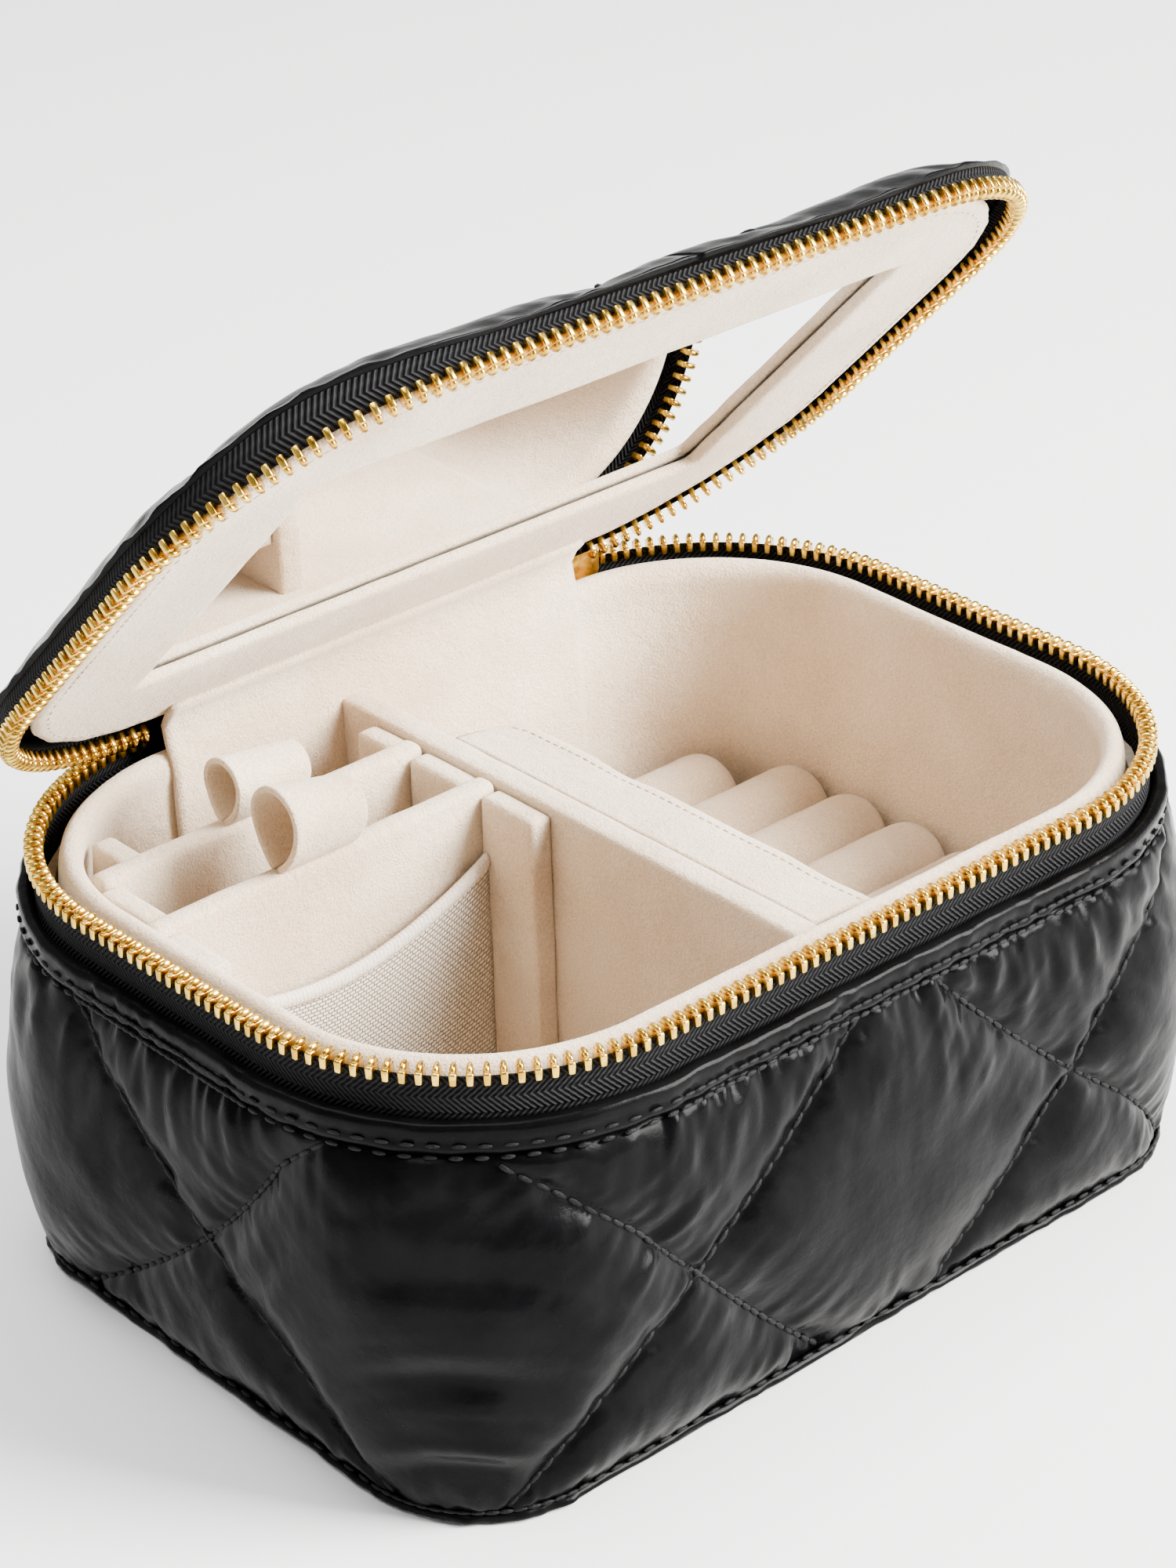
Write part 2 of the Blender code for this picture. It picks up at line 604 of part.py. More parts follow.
def make_pull(centre_x, pivot_y, slider):
    """The tab's top bar sits inside the bail; the tab hangs just clear of the padded wall."""
    pivot = empty_at("zip_pull_swing", (centre_x, pivot_y, SLIDER_MIDDLE), slider)
    half = PULL_THICK / 2
    bm = block((centre_x - PULL_WIDTH / 2, pivot_y - half, SLIDER_MIDDLE - PULL_LENGTH),
               (centre_x + PULL_WIDTH / 2, pivot_y + half, SLIDER_MIDDLE + half))
    sides = [edge for edge in bm.edges if abs(edge.verts[0].co.y - edge.verts[1].co.y) > half]
    bmesh.ops.bevel(bm, geom=sides, offset=half * 0.8, segments=2, profile=0.5, affect="EDGES", material=-1)
    tab = add_object("zip_pull_tab", to_mesh("zip_pull_tab", bm), GOLD, 0.28, 1, pivot)
    window = block((centre_x - PULL_WINDOW_HALF, pivot_y - PULL_THICK, SLIDER_MIDDLE - PULL_WINDOW_DROP),
                   (centre_x + PULL_WINDOW_HALF, pivot_y + PULL_THICK, SLIDER_MIDDLE - half))
    cut(tab, "pull_window", to_mesh("pull_window", window))
    pivot.rotation_euler = (math.radians(PULL_TILT), 0, 0)


def make_case():
    make_base()
    make_piping()
    make_walls()
    make_rim()
    chain_low = SPLIT_HEIGHT - CLEARANCE / 2 - CHAIN_HEIGHT
    make_zip("lower", LOWER_TAPE_BASE, min(LOWER_TAPE_TOP, chain_low - CLEARANCE), chain_low)
    make_main_divider()
    make_guides()
    front = make_cross_divider("front_cross_divider", FRONT_CROSS)
    make_finger_loop("front_finger_loop", FRONT_LOOP_PLACE, FRONT_CROSS, front)
    make_elastic_pocket(front)
    rear = make_cross_divider("rear_cross_divider", REAR_CROSS)
    make_finger_loop("rear_finger_loop", REAR_LOOP_PLACE, REAR_CROSS, rear)
    make_flap()
    make_ring_rolls()
    make_slider()
    lid = empty_at("lid_hinge", (0, AXIS_Y, AXIS_Z))
    make_hinge(lid)
    make_zip("upper", UPPER_TAPE_BASE, UPPER_TAPE_TOP, SPLIT_HEIGHT + CLEARANCE / 2, lid)
    make_lid(lid)
    lid.rotation_euler = (LID_TILT, 0, 0)


clear_scene()
CASE = new_collection("travel_jewellery_case")
CUTTERS = new_collection("cutters")
make_case()
bpy.context.view_layer.update()
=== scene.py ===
# %% [markdown]
# # A quilted travel jewellery case
# The case is a padded box with a zip all the way round and a mirror in its lid. This lesson dresses a
# plain working model of it: black puffer nylon outside, cream microsuede inside, brass zip teeth between.
# The first cell loads that working model. Its pieces never move, and every new piece rides on one of them.
# %% Load the working model
import json
import math

import bmesh
import bpy
import numpy as np
from mathutils import Matrix, Vector


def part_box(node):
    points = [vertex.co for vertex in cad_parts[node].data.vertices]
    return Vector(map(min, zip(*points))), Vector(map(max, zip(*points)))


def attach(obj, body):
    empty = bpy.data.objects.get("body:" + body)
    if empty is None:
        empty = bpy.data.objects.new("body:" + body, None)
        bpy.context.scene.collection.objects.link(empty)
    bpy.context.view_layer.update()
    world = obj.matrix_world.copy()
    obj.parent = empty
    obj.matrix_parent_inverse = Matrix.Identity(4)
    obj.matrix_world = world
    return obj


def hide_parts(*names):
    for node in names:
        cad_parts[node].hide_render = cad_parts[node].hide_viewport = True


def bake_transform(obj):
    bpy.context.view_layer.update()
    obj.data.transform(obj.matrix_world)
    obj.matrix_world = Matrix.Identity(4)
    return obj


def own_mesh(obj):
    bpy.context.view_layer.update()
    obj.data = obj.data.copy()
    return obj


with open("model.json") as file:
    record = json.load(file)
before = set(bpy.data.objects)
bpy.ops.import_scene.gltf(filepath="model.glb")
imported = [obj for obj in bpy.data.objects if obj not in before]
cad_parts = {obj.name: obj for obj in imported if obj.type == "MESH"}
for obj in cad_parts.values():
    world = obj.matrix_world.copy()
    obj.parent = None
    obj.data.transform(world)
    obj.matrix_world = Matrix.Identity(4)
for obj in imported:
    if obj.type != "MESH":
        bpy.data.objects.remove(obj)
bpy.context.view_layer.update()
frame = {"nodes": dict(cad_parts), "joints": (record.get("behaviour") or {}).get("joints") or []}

MM = 0.001
JOINTS = {joint["name"]: joint for joint in frame["joints"]}
NODES = frame["nodes"]


def add_object(name, data):
    item = bpy.data.objects.new(name, data)
    bpy.context.scene.collection.objects.link(item)
    return item


def set_inputs(node, **values):
    """Constants on a node's sockets. An underscore stands for a space in a socket's name."""
    for label, value in values.items():
        node.inputs[label.replace("_", " ")].default_value = value


def box_mm(node):
    low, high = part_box(node)
    return low / MM, high / MM


def stack(*columns):
    return np.stack(columns, 1)


# %% [markdown]
# ## The camera
# A long lens from the front left, looking down into the open case. Azimuth 0 looks along +Y. The small
# roll and shift are part of the framing, and nothing else in the scene depends on them.
# %% Camera
CAMERA_PLACE = (-0.33357, -0.38119, 0.34221)
CAMERA_AZIMUTH, CAMERA_ELEVATION, CAMERA_ROLL = -40.95, 28.75, -1.76
CAMERA_LENS = 94.84
CAMERA_SHIFT = (0.0017, 0.0078)


def add_camera():
    data = bpy.data.cameras.new("case_camera")
    camera = add_object("case_camera", data)
    turn, rise = math.radians(CAMERA_AZIMUTH), math.radians(CAMERA_ELEVATION)
    back = Vector((math.sin(turn) * math.cos(rise), -math.cos(turn) * math.cos(rise), math.sin(rise)))
    aim = (-back).to_track_quat("-Z", "Y").to_matrix() @ Matrix.Rotation(math.radians(CAMERA_ROLL), 3, "Z")
    camera.matrix_world = Matrix.Translation(CAMERA_PLACE) @ aim.to_4x4()
    data.lens = CAMERA_LENS
    data.sensor_width = 36.0
    data.shift_x, data.shift_y = CAMERA_SHIFT
    data.clip_start, data.clip_end = 0.01, 20.0
    bpy.context.scene.camera = camera


add_camera()

# %% [markdown]
# ## Floor and light
# A pale seamless floor. One big soft panel stands high on the right, so faces that look right and forward
# are bright and the long shadow falls to the left. A weaker panel behind and above lifts the lid's back.
# %% Floor and light
def add_panel(name, place, target, size, power, colour=(1.0, 1.0, 1.0)):
    data = bpy.data.lights.new(name, "AREA")
    data.shape = "RECTANGLE"
    data.size, data.size_y = size
    data.energy = power
    data.color = colour
    lamp = add_object(name, data)
    aim = (Vector(target) - Vector(place)).to_track_quat("-Z", "Y")
    lamp.matrix_world = Matrix.Translation(place) @ aim.to_matrix().to_4x4()


def add_floor():
    """A flat disc that curves up into a wall far away, so no horizon shows from any side."""
    profile = [(2.4, 0.0), (2.8, 0.06), (3.1, 0.25), (3.3, 0.6), (3.4, 1.2), (3.4, 3.0)]
    sides = 64
    bowl = bmesh.new()
    rings = [[bowl.verts.new((reach * math.cos(turn), reach * math.sin(turn), height))
              for turn in (2 * math.pi * number / sides for number in range(sides))] for reach, height in profile]
    bowl.faces.new(rings[0])
    for lower, upper in zip(rings, rings[1:]):
        for number in range(sides):
            after = (number + 1) % sides
            bowl.faces.new((lower[number], upper[number], upper[after], lower[after]))
    mesh = bpy.data.meshes.new("studio_floor")
    bowl.to_mesh(mesh)
    bowl.free()
    mesh.shade_smooth()
    floor = add_object("studio_floor", mesh)
    paint = bpy.data.materials.new("studio_paper")
    paint.use_nodes = True
    set_inputs(paint.node_tree.nodes["Principled BSDF"], Base_Color=(0.80, 0.80, 0.80, 1.0), Roughness=0.9,
               Specular_IOR_Level=0.1)
    mesh.materials.append(paint)


def add_world():
    world = bpy.data.worlds.new("studio_air")
    bpy.context.scene.world = world
    world.use_nodes = True
    set_inputs(world.node_tree.nodes["Background"], Color=(0.93, 0.95, 1.0, 1.0), Strength=0.18)


add_floor()
add_world()
add_panel("key_panel", (0.62, -0.85, 0.66), (0, 0, 0.04), (0.6, 0.8), 120.0, (1.0, 0.985, 0.96))
add_panel("top_panel", (-0.15, 0.15, 1.2), (0, 0, 0.05), (1.0, 1.0), 33.0)

# %% [markdown]
# ## Measures shared by many pieces
# The box is a rounded rectangle that widens from the base to the zip. `wall_plan` gives its width, depth
# and corner radius at a height, and `around` walks round such a plan by distance. With these two, every
# band, tape and row of stitches follows the same wall.
# %% Plans of the box
SPLIT = 68.0               # millimetres up to the meeting of the two rows of teeth
BASE_PLAN = (139.0, 100.0, 16.0)
RIM_PLAN = (150.0, 110.0, 36.4)
LID_TILT = -math.radians(45.6)
HINGE = Vector(JOINTS["lid_hinge"]["pos_m"]) / MM
PIVOT = np.array(HINGE)
LID_TURN = np.array(Matrix.Rotation(LID_TILT, 3, "X"))
LID_SWING = Matrix.Translation(HINGE * MM) @ Matrix.Rotation(LID_TILT, 4, "X") @ Matrix.Translation(-HINGE * MM)


def grown(plan, out):
    width, depth, radius = plan
    return width + 2 * out, depth + 2 * out, radius + out


def wall_plan(height, out=0.0):
    share = np.clip(height / SPLIT, 0.0, 1.0)
    plan = tuple(low + (high - low) * share for low, high in zip(BASE_PLAN, RIM_PLAN))
    return grown(plan, out)


MIDDLE_PLAN = wall_plan(28.0, 3.0)


def plan_lengths(plan):
    """Lengths of the nine stretches of a plan, from the front's middle and anticlockwise."""
    width, depth, radius = plan
    side, end, arc = width / 2 - radius, depth / 2 - radius, radius * math.pi / 2
    return np.array([side, arc, 2 * end, arc, 2 * side, arc, 2 * end, arc, side])


def plan_starts(plan):
    """Where each stretch starts, and the whole way round at the end."""
    return np.concatenate([[0.0], np.cumsum(plan_lengths(plan))])


def around(plan, distance, measured_on):
    """Points and outward directions on a plan, by distance as measured along another plan."""
    lengths, starts = plan_lengths(measured_on), plan_starts(measured_on)
    distance = np.mod(distance, starts[-1])
    stretch = np.clip(np.searchsorted(starts, distance, side="right") - 1, 0, 8)
    part = (distance - starts[stretch]) / lengths[stretch]
    turn = np.radians(np.array([-90, -90, 0, 0, 90, 90, 180, 180, 270])[stretch] + 90.0 * part * (stretch % 2))
    corner_x = np.array([0, 1, 1, 1, 1, -1, -1, -1, -1, 0])
    corner_y = np.array([-1, -1, -1, 1, 1, 1, 1, -1, -1, -1])
    width, depth, radius = plan
    slide_x = corner_x[stretch] + np.diff(corner_x)[stretch] * part
    slide_y = corner_y[stretch] + np.diff(corner_y)[stretch] * part
    x = (width / 2 - radius) * slide_x + radius * np.cos(turn)
    y = (depth / 2 - radius) * slide_y + radius * np.sin(turn)
    return x, y, np.cos(turn), np.sin(turn)


def perimeter(plan):
    return float(plan_lengths(plan).sum())


def opened(points):
    """Points of the closed lid, turned to where the lid stands."""
    return (points - PIVOT) @ LID_TURN.T + PIVOT


def opened_ways(ways):
    """Directions on the closed lid, turned in the same way."""
    return ways @ LID_TURN.T


print("rim length", round(perimeter(RIM_PLAN), 1), "mm")

# %% [markdown]
# ## Smooth random numbers
# Wrinkles need randomness that is smooth and the same on every run. `ripple` lays seeded random numbers on
# a lattice and blends between them, which is what a noise texture does, only for moving points.
# %% Smooth noise for points
def ripple(across, along, seed):
    """Smooth noise from -1 to 1, with features about one unit wide."""
    table = np.random.RandomState(seed).uniform(-1.0, 1.0, (64, 64))
    low_x, low_y = np.floor(across).astype(int), np.floor(along).astype(int)
    part_x, part_y = across - low_x, along - low_y
    ease_x = part_x * part_x * (3 - 2 * part_x)
    ease_y = part_y * part_y * (3 - 2 * part_y)
    near = table[low_x % 64, low_y % 64] * (1 - ease_x) + table[(low_x + 1) % 64, low_y % 64] * ease_x
    far = table[low_x % 64, (low_y + 1) % 64] * (1 - ease_x) + table[(low_x + 1) % 64, (low_y + 1) % 64] * ease_x
    return near * (1 - ease_y) + far * ease_y


# %% [markdown]
# ## Shader groups
# Three effects are used by several finishes, so each is a node group with named sockets. `weave_height`
# crosses two sets of ridges over and under each other, `pile` is the short nap of suede, and `patches` is
# slow drift for colour and roughness. They are fed object coordinates or a cloth's own map, so they follow a
# piece when it moves.
# %% Shader group helpers
def new_group(name, inputs, outputs):
    group = bpy.data.node_groups.new(name, "ShaderNodeTree")
    for label, kind, value in inputs:
        socket = group.interface.new_socket(label, in_out="INPUT", socket_type=kind)
        if value is not None:
            socket.default_value = value
    for label, kind in outputs:
        group.interface.new_socket(label, in_out="OUTPUT", socket_type=kind)
    return group, group.nodes.new("NodeGroupInput"), group.nodes.new("NodeGroupOutput")


def feed(tree, socket, value):
    """A number is set on the socket itself, and an output is linked to it."""
    if isinstance(value, (int, float)):
        socket.default_value = value
    else:
        tree.links.new(value, socket)


def math_node(tree, operation, *values):
    node = tree.nodes.new("ShaderNodeMath")
    node.operation = operation
    for socket, value in zip(node.inputs, values):
        feed(tree, socket, value)
    return node.outputs[0]


def noise_node(tree, vector, scale, detail=2.0, roughness=0.5):
    node = tree.nodes.new("ShaderNodeTexNoise")
    tree.links.new(vector, node.inputs["Vector"])
    feed(tree, node.inputs["Scale"], scale)
    set_inputs(node, Detail=detail, Roughness=roughness)
    return node.outputs["Fac"]


# %% Patches, pile and weave
def make_patches():
    group, given, result = new_group(
        "patches",
        [("Vector", "NodeSocketVector", None), ("Size per metre", "NodeSocketFloat", 60.0),
         ("Low", "NodeSocketFloat", 0.0), ("High", "NodeSocketFloat", 1.0)],
        [("Value", "NodeSocketFloat")])
    cloud = noise_node(group, given.outputs["Vector"], given.outputs["Size per metre"], 3.0)
    spread = group.nodes.new("ShaderNodeMapRange")
    group.links.new(cloud, spread.inputs["Value"])
    set_inputs(spread, From_Min=0.3, From_Max=0.7)
    group.links.new(given.outputs["Low"], spread.inputs["To Min"])
    group.links.new(given.outputs["High"], spread.inputs["To Max"])
    group.links.new(spread.outputs["Result"], result.inputs["Value"])
    return group


def make_pile():
    group, given, result = new_group(
        "pile",
        [("Vector", "NodeSocketVector", None), ("Hairs per metre", "NodeSocketFloat", 2600.0)],
        [("Height", "NodeSocketFloat"), ("Shade", "NodeSocketFloat")])
    vector, hairs = given.outputs["Vector"], given.outputs["Hairs per metre"]
    hair = noise_node(group, vector, hairs, 3.0, 0.7)
    tuft = noise_node(group, vector, math_node(group, "MULTIPLY", hairs, 0.22), 2.0)
    brushed = noise_node(group, vector, math_node(group, "MULTIPLY", hairs, 0.02), 2.0)
    height = math_node(group, "ADD", hair, math_node(group, "MULTIPLY", tuft, 0.9))
    shade = math_node(group, "ADD", math_node(group, "MULTIPLY", hair, 0.6),
                      math_node(group, "MULTIPLY", brushed, 0.4))
    group.links.new(height, result.inputs["Height"])
    group.links.new(shade, result.inputs["Shade"])
    return group


def make_weave():
    group, given, result = new_group(
        "weave_height",
        [("Vector", "NodeSocketVector", None), ("Threads per metre", "NodeSocketFloat", 1800.0),
         ("Slant", "NodeSocketFloat", 1.0)],
        [("Height", "NodeSocketFloat")])
    split = group.nodes.new("ShaderNodeSeparateXYZ")
    group.links.new(given.outputs["Vector"], split.inputs[0])
    run, rise = (math_node(group, "MULTIPLY", split.outputs[axis], given.outputs["Threads per metre"])
                 for axis in "XY")
    bent = math_node(group, "MULTIPLY", math_node(group, "PINGPONG", rise, 2.5), given.outputs["Slant"])
    ridge = math_node(group, "SINE", math_node(group, "MULTIPLY", math_node(group, "ADD", run, bent), 2 * math.pi))
    cross = math_node(group, "SINE", math_node(group, "MULTIPLY", rise, 2 * math.pi))
    height = math_node(group, "ADD", ridge, math_node(group, "MULTIPLY", cross, 0.35))
    group.links.new(height, result.inputs["Height"])
    return group


PATCHES, PILE, WEAVE = make_patches(), make_pile(), make_weave()


# %% [markdown]
# ## The finishes
# Every finish is a Principled shader. Colour and roughness drift a little over each surface, and the bump
# carries what is too fine to model: the hair of the suede, the ribs of the tape, the scuff on the brass.
# %% Finish helpers
def start_finish(name, roughness, metallic=0.0, **sockets):
    material = bpy.data.materials.new(name)
    material.use_nodes = True
    tree = material.node_tree
    shader = tree.nodes["Principled BSDF"]
    set_inputs(shader, Roughness=roughness, Metallic=metallic, **sockets)
    place = tree.nodes.new("ShaderNodeTexCoord")
    return material, tree, shader, place


def add_group(tree, group, vector, **values):
    node = tree.nodes.new("ShaderNodeGroup")
    node.node_tree = group
    tree.links.new(vector, node.inputs["Vector"])
    set_inputs(node, **values)
    return node


def two_colours(tree, shader, factor, first, second):
    ramp = tree.nodes.new("ShaderNodeValToRGB")
    for stop, position, colour in zip(ramp.color_ramp.elements, (0.32, 0.68), (first, second)):
        stop.position = position
        stop.color = (*colour, 1.0)
    tree.links.new(factor, ramp.inputs["Fac"])
    tree.links.new(ramp.outputs["Color"], shader.inputs["Base Color"])


def add_bump(tree, shader, height, strength, distance):
    bump = tree.nodes.new("ShaderNodeBump")
    set_inputs(bump, Strength=strength, Distance=distance)
    tree.links.new(height, bump.inputs["Height"])
    tree.links.new(bump.outputs["Normal"], shader.inputs["Normal"])


def rough_patches(tree, shader, vector, low, high, size):
    node = add_group(tree, PATCHES, vector, Size_per_metre=size, Low=low, High=high)
    tree.links.new(node.outputs["Value"], shader.inputs["Roughness"])


# %% Puffer nylon, thread and tape
def make_nylon():
    material, tree, shader, place = start_finish("black_puffer_nylon", 0.4, IOR=1.15, Specular_IOR_Level=0.30)
    vector = place.outputs["Object"]
    cloud = add_group(tree, PATCHES, vector, Size_per_metre=90.0)
    two_colours(tree, shader, cloud.outputs["Value"], (0.0012, 0.0012, 0.0014), (0.0025, 0.0025, 0.0028))
    rough_patches(tree, shader, vector, 0.22, 0.31, 140.0)
    crinkle = noise_node(tree, vector, 420.0, 4.0, 0.55)
    fine = noise_node(tree, vector, 3800.0, 1.0)
    height = math_node(tree, "ADD", crinkle, math_node(tree, "MULTIPLY", fine, 0.06))
    add_bump(tree, shader, height, 0.25, 0.0004)
    return material


def make_thread(name, dark, light):
    material, tree, shader, place = start_finish(name, 0.6, Specular_IOR_Level=0.12)
    strand = noise_node(tree, place.outputs["Object"], 2600.0, 2.0)
    two_colours(tree, shader, strand, dark, light)
    add_bump(tree, shader, strand, 0.6, 0.0002)
    return material


def make_tape():
    material, tree, shader, place = start_finish("herringbone_tape", 0.8, Specular_IOR_Level=0.08)
    weave = add_group(tree, WEAVE, place.outputs["UV"], Threads_per_metre=1150.0, Slant=1.0)
    height = weave.outputs["Height"]
    # Colour follows the weave's height: darker in the hollows and lighter on the ridges. This is painted shade and
    # painted highlight of the weave's relief.
    weave_shade_and_highlight = math_node(tree, "ADD", math_node(tree, "MULTIPLY", height, 0.3), 0.5)
    two_colours(tree, shader, weave_shade_and_highlight, (0.0006, 0.0006, 0.0007), (0.016, 0.016, 0.0175))
    add_bump(tree, shader, height, 0.9, 0.00025)
    return material


# %% Suede, elastic and board
def make_suede():
    material, tree, shader, place = start_finish("cream_suede", 0.95, Sheen_Weight=0.55, Sheen_Roughness=0.4,
                                                 Specular_IOR_Level=0.15)
    nap = add_group(tree, PILE, place.outputs["Object"])
    two_colours(tree, shader, nap.outputs["Shade"], (0.58, 0.40, 0.24), (0.92, 0.78, 0.60))
    add_bump(tree, shader, nap.outputs["Height"], 0.9, 0.0005)
    return material


def make_elastic():
    material, tree, shader, place = start_finish("ribbed_elastic", 0.7, Sheen_Weight=0.2)
    bricks = tree.nodes.new("ShaderNodeTexBrick")
    tree.links.new(place.outputs["UV"], bricks.inputs["Vector"])
    # The dark mortar colour fills the grooves between the ribs, which is painted shade. The two brick colours are
    # the ribs' own tone.
    set_inputs(bricks, Scale=1000.0, Brick_Width=0.95, Row_Height=0.62, Mortar_Size=0.13, Mortar_Smooth=1.0,
               Color1=(0.90, 0.80, 0.66, 1.0), Color2=(0.84, 0.74, 0.60, 1.0), Mortar=(0.44, 0.36, 0.26, 1.0))
    tree.links.new(bricks.outputs["Color"], shader.inputs["Base Color"])
    inverse = math_node(tree, "SUBTRACT", 1.0, bricks.outputs["Fac"])
    add_bump(tree, shader, inverse, 1.0, 0.0006)
    return material


def make_board():
    material, tree, shader, place = start_finish("stiffener_board", 0.9)
    fibre = noise_node(tree, place.outputs["Object"], 900.0, 4.0)
    two_colours(tree, shader, fibre, (0.30, 0.25, 0.19), (0.42, 0.36, 0.28))
    add_bump(tree, shader, fibre, 0.3, 0.0002)
    return material


# %% Brass and mirror
def make_brass():
    material, tree, shader, place = start_finish("polished_brass", 0.22, 1.0)
    vector = place.outputs["Object"]
    tarnish = add_group(tree, PATCHES, vector, Size_per_metre=500.0)
    two_colours(tree, shader, tarnish.outputs["Value"], (0.50, 0.29, 0.03), (0.78, 0.52, 0.09))
    rough_patches(tree, shader, vector, 0.16, 0.30, 900.0)
    add_bump(tree, shader, noise_node(tree, vector, 2400.0, 2.0), 0.03, 0.0001)
    return material


def make_mirror():
    material, tree, shader, place = start_finish("mirror_silver", 0.0, 1.0)
    haze = add_group(tree, PATCHES, place.outputs["Object"], Size_per_metre=25.0)
    two_colours(tree, shader, haze.outputs["Value"], (0.88, 0.89, 0.89), (0.90, 0.91, 0.91))
    return material


NYLON = make_nylon()
BLACK_THREAD = make_thread("black_rope_thread", (0.001, 0.001, 0.0012), (0.006, 0.006, 0.0065))
CREAM_THREAD = make_thread("cream_thread", (0.62, 0.53, 0.43), (0.80, 0.72, 0.62))
SEAM_THREAD = make_thread("seam_thread", (0.34, 0.25, 0.17), (0.55, 0.43, 0.32))
TAPE = make_tape()
SUEDE = make_suede()
ELASTIC = make_elastic()
CARD = make_board()
BRASS = make_brass()
MIRROR = make_mirror()

# %% [markdown]
# ## Wrapping a grid into a solid ring
# Most soft pieces here are rings: a section swept round the box. The simplest mesh for a ring is a flat
# grid. One side of the grid runs round the box, the other round the section, and the two pairs of opposite
# edges are then merged. The grid's own coordinates, in millimetres of cloth, become the UV map.
# %% Grid helpers
def read_triples(items, field):
    """One (x, y, z) row for each item of a mesh."""
    flat = np.zeros(len(items) * 3)
    items.foreach_get(field, flat)
    return flat.reshape(-1, 3)


def new_object(name, mesh, material, body):
    item = add_object(name, mesh)
    mesh.materials.append(material)
    mesh.shade_smooth()
    if body is not None:
        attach(item, body)
    return item


def mapped_grid(name, along, across, place, weld=True):
    """A grid whose points go where place(u, v) says, in millimetres; u and v run from 0 to 1."""
    plan = bmesh.new()
    bmesh.ops.create_grid(plan, x_segments=along, y_segments=across, size=0.5)
    mesh = bpy.data.meshes.new(name)
    plan.to_mesh(mesh)
    flat = read_triples(mesh.vertices, "co") + 0.5
    points, cloth = place(flat[:, 0], flat[:, 1])
    corners = np.zeros(len(mesh.loops), int)
    mesh.loops.foreach_get("vertex_index", corners)
    layer = mesh.uv_layers.new(name="cloth_map")
    layer.data.foreach_set("uv", (cloth[corners] * MM).ravel())
    mesh.vertices.foreach_set("co", (points * MM).ravel())
    plan.clear()
    plan.from_mesh(mesh)
    if weld:
        bmesh.ops.remove_doubles(plan, verts=plan.verts, dist=1e-6)
    bmesh.ops.recalc_face_normals(plan, faces=plan.faces)
    plan.to_mesh(mesh)
    plan.free()
    return mesh


def walker(line):
    """The length of a line of points, and a function that gives the point at each share of it."""
    shape = np.array(line, float)
    runs = np.concatenate([[0.0], np.cumsum(np.hypot(*np.diff(shape, axis=0).T))])

    def at(share):
        return tuple(np.interp(share * runs[-1], runs, shape[:, axis]) for axis in (0, 1))

    return runs[-1], at


def swept_ring(name, section, steps, rows, shift, plan_at):
    """A closed ring: section is a list of (out, height) points, and shift moves what they give."""
    length, at = walker(section + section[:1])

    def place(u, v):
        distance = u * perimeter(MIDDLE_PLAN)
        out, height = shift(distance, *at(v))
        x, y, _, _ = around(plan_at(height, out), distance, MIDDLE_PLAN)
        return stack(x, y, height), stack(distance, v * length)

    return mapped_grid(name, steps, rows, place)


def fill_holes(mesh):
    shape = bmesh.new()
    shape.from_mesh(mesh)
    bmesh.ops.holes_fill(shape, edges=[edge for edge in shape.edges if edge.is_boundary])
    bmesh.ops.recalc_face_normals(shape, faces=shape.faces)
    shape.to_mesh(mesh)
    shape.free()


def baked(name, item):
    """The mesh that an object's modifiers make. The object is removed."""
    bpy.context.view_layer.update()
    mesh = bpy.data.meshes.new_from_object(item.evaluated_get(bpy.context.evaluated_depsgraph_get()))
    bpy.data.objects.remove(item)
    mesh.name = name
    mesh.materials.clear()
    return mesh


def thickened(name, mesh, thickness, rounding=0.0):
    """A solid made from an open sheet, half its thickness to each side."""
    sheet = add_object(name + "_raw", mesh)
    wall = sheet.modifiers.new("thickness", "SOLIDIFY")
    wall.thickness = thickness * MM
    wall.offset = 0.0
    if rounding:
        bevel = sheet.modifiers.new("soft_edges", "BEVEL")
        bevel.width = rounding * MM
        bevel.segments = 2
    return baked(name, sheet)


def recoat(node, material):
    """A finish for one of the working model's own pieces."""
    NODES[node].data.materials.clear()
    NODES[node].data.materials.append(material)


def rim_plan_at(height, out):
    return grown(RIM_PLAN, out)


# %% [markdown]
# ## The quilted wall
# Two families of slanted seams cross into big diamonds. Between seams the wadding puffs the nylon out, and
# at the seams it is pulled flat, with short wrinkles standing across each one. All of it is one height
# field over the distance round the box and the height up the wall. The near corner hangs in soft folds.
# %% Where the quilting seams run
CROSSING_HEIGHT = 28.0     # the seams cross at this height
CROSSING_FRONT = -33.9     # distance from the front's middle to one crossing
DIAMOND = 71.4             # crossing to crossing along the front
DIAMOND_LEFT = 80.0        # wider past the bulging left corner
SEAM_RISE = 71.0           # height over which a seam moves one diamond along
SLANTED = DIAMOND * math.sqrt(0.5)     # a diamond's width, square to its seams
COVER_LOW, COVER_HIGH = 1.7, 57.0


def signed_distance(distance):
    """Distance from the front's middle, negative towards the left."""
    length = perimeter(MIDDLE_PLAN)
    return np.mod(distance + length / 2, length) - length / 2


def seam_phases(distance, height):
    """How many diamonds along each family of seams a point lies."""
    along = signed_distance(distance) - CROSSING_FRONT
    along = np.where(along > 0, along / DIAMOND, along / DIAMOND_LEFT)
    rise = (height - CROSSING_HEIGHT) / SEAM_RISE
    return along - rise, along + rise


def to_seam(phase):
    """Millimetres to the nearest seam of one family."""
    return np.abs(phase - np.round(phase)) * SLANTED


def nearest_softly(*gaps):
    """About the smallest of the gaps, with no crease where another gap takes over."""
    return 1.0 / sum(1.0 / (gap + 0.3) ** 2 for gap in gaps) ** 0.5


# %% The height field of the wall
CORNER_AT = -70.0          # middle of the near left corner, by distance
PUFF = 3.6


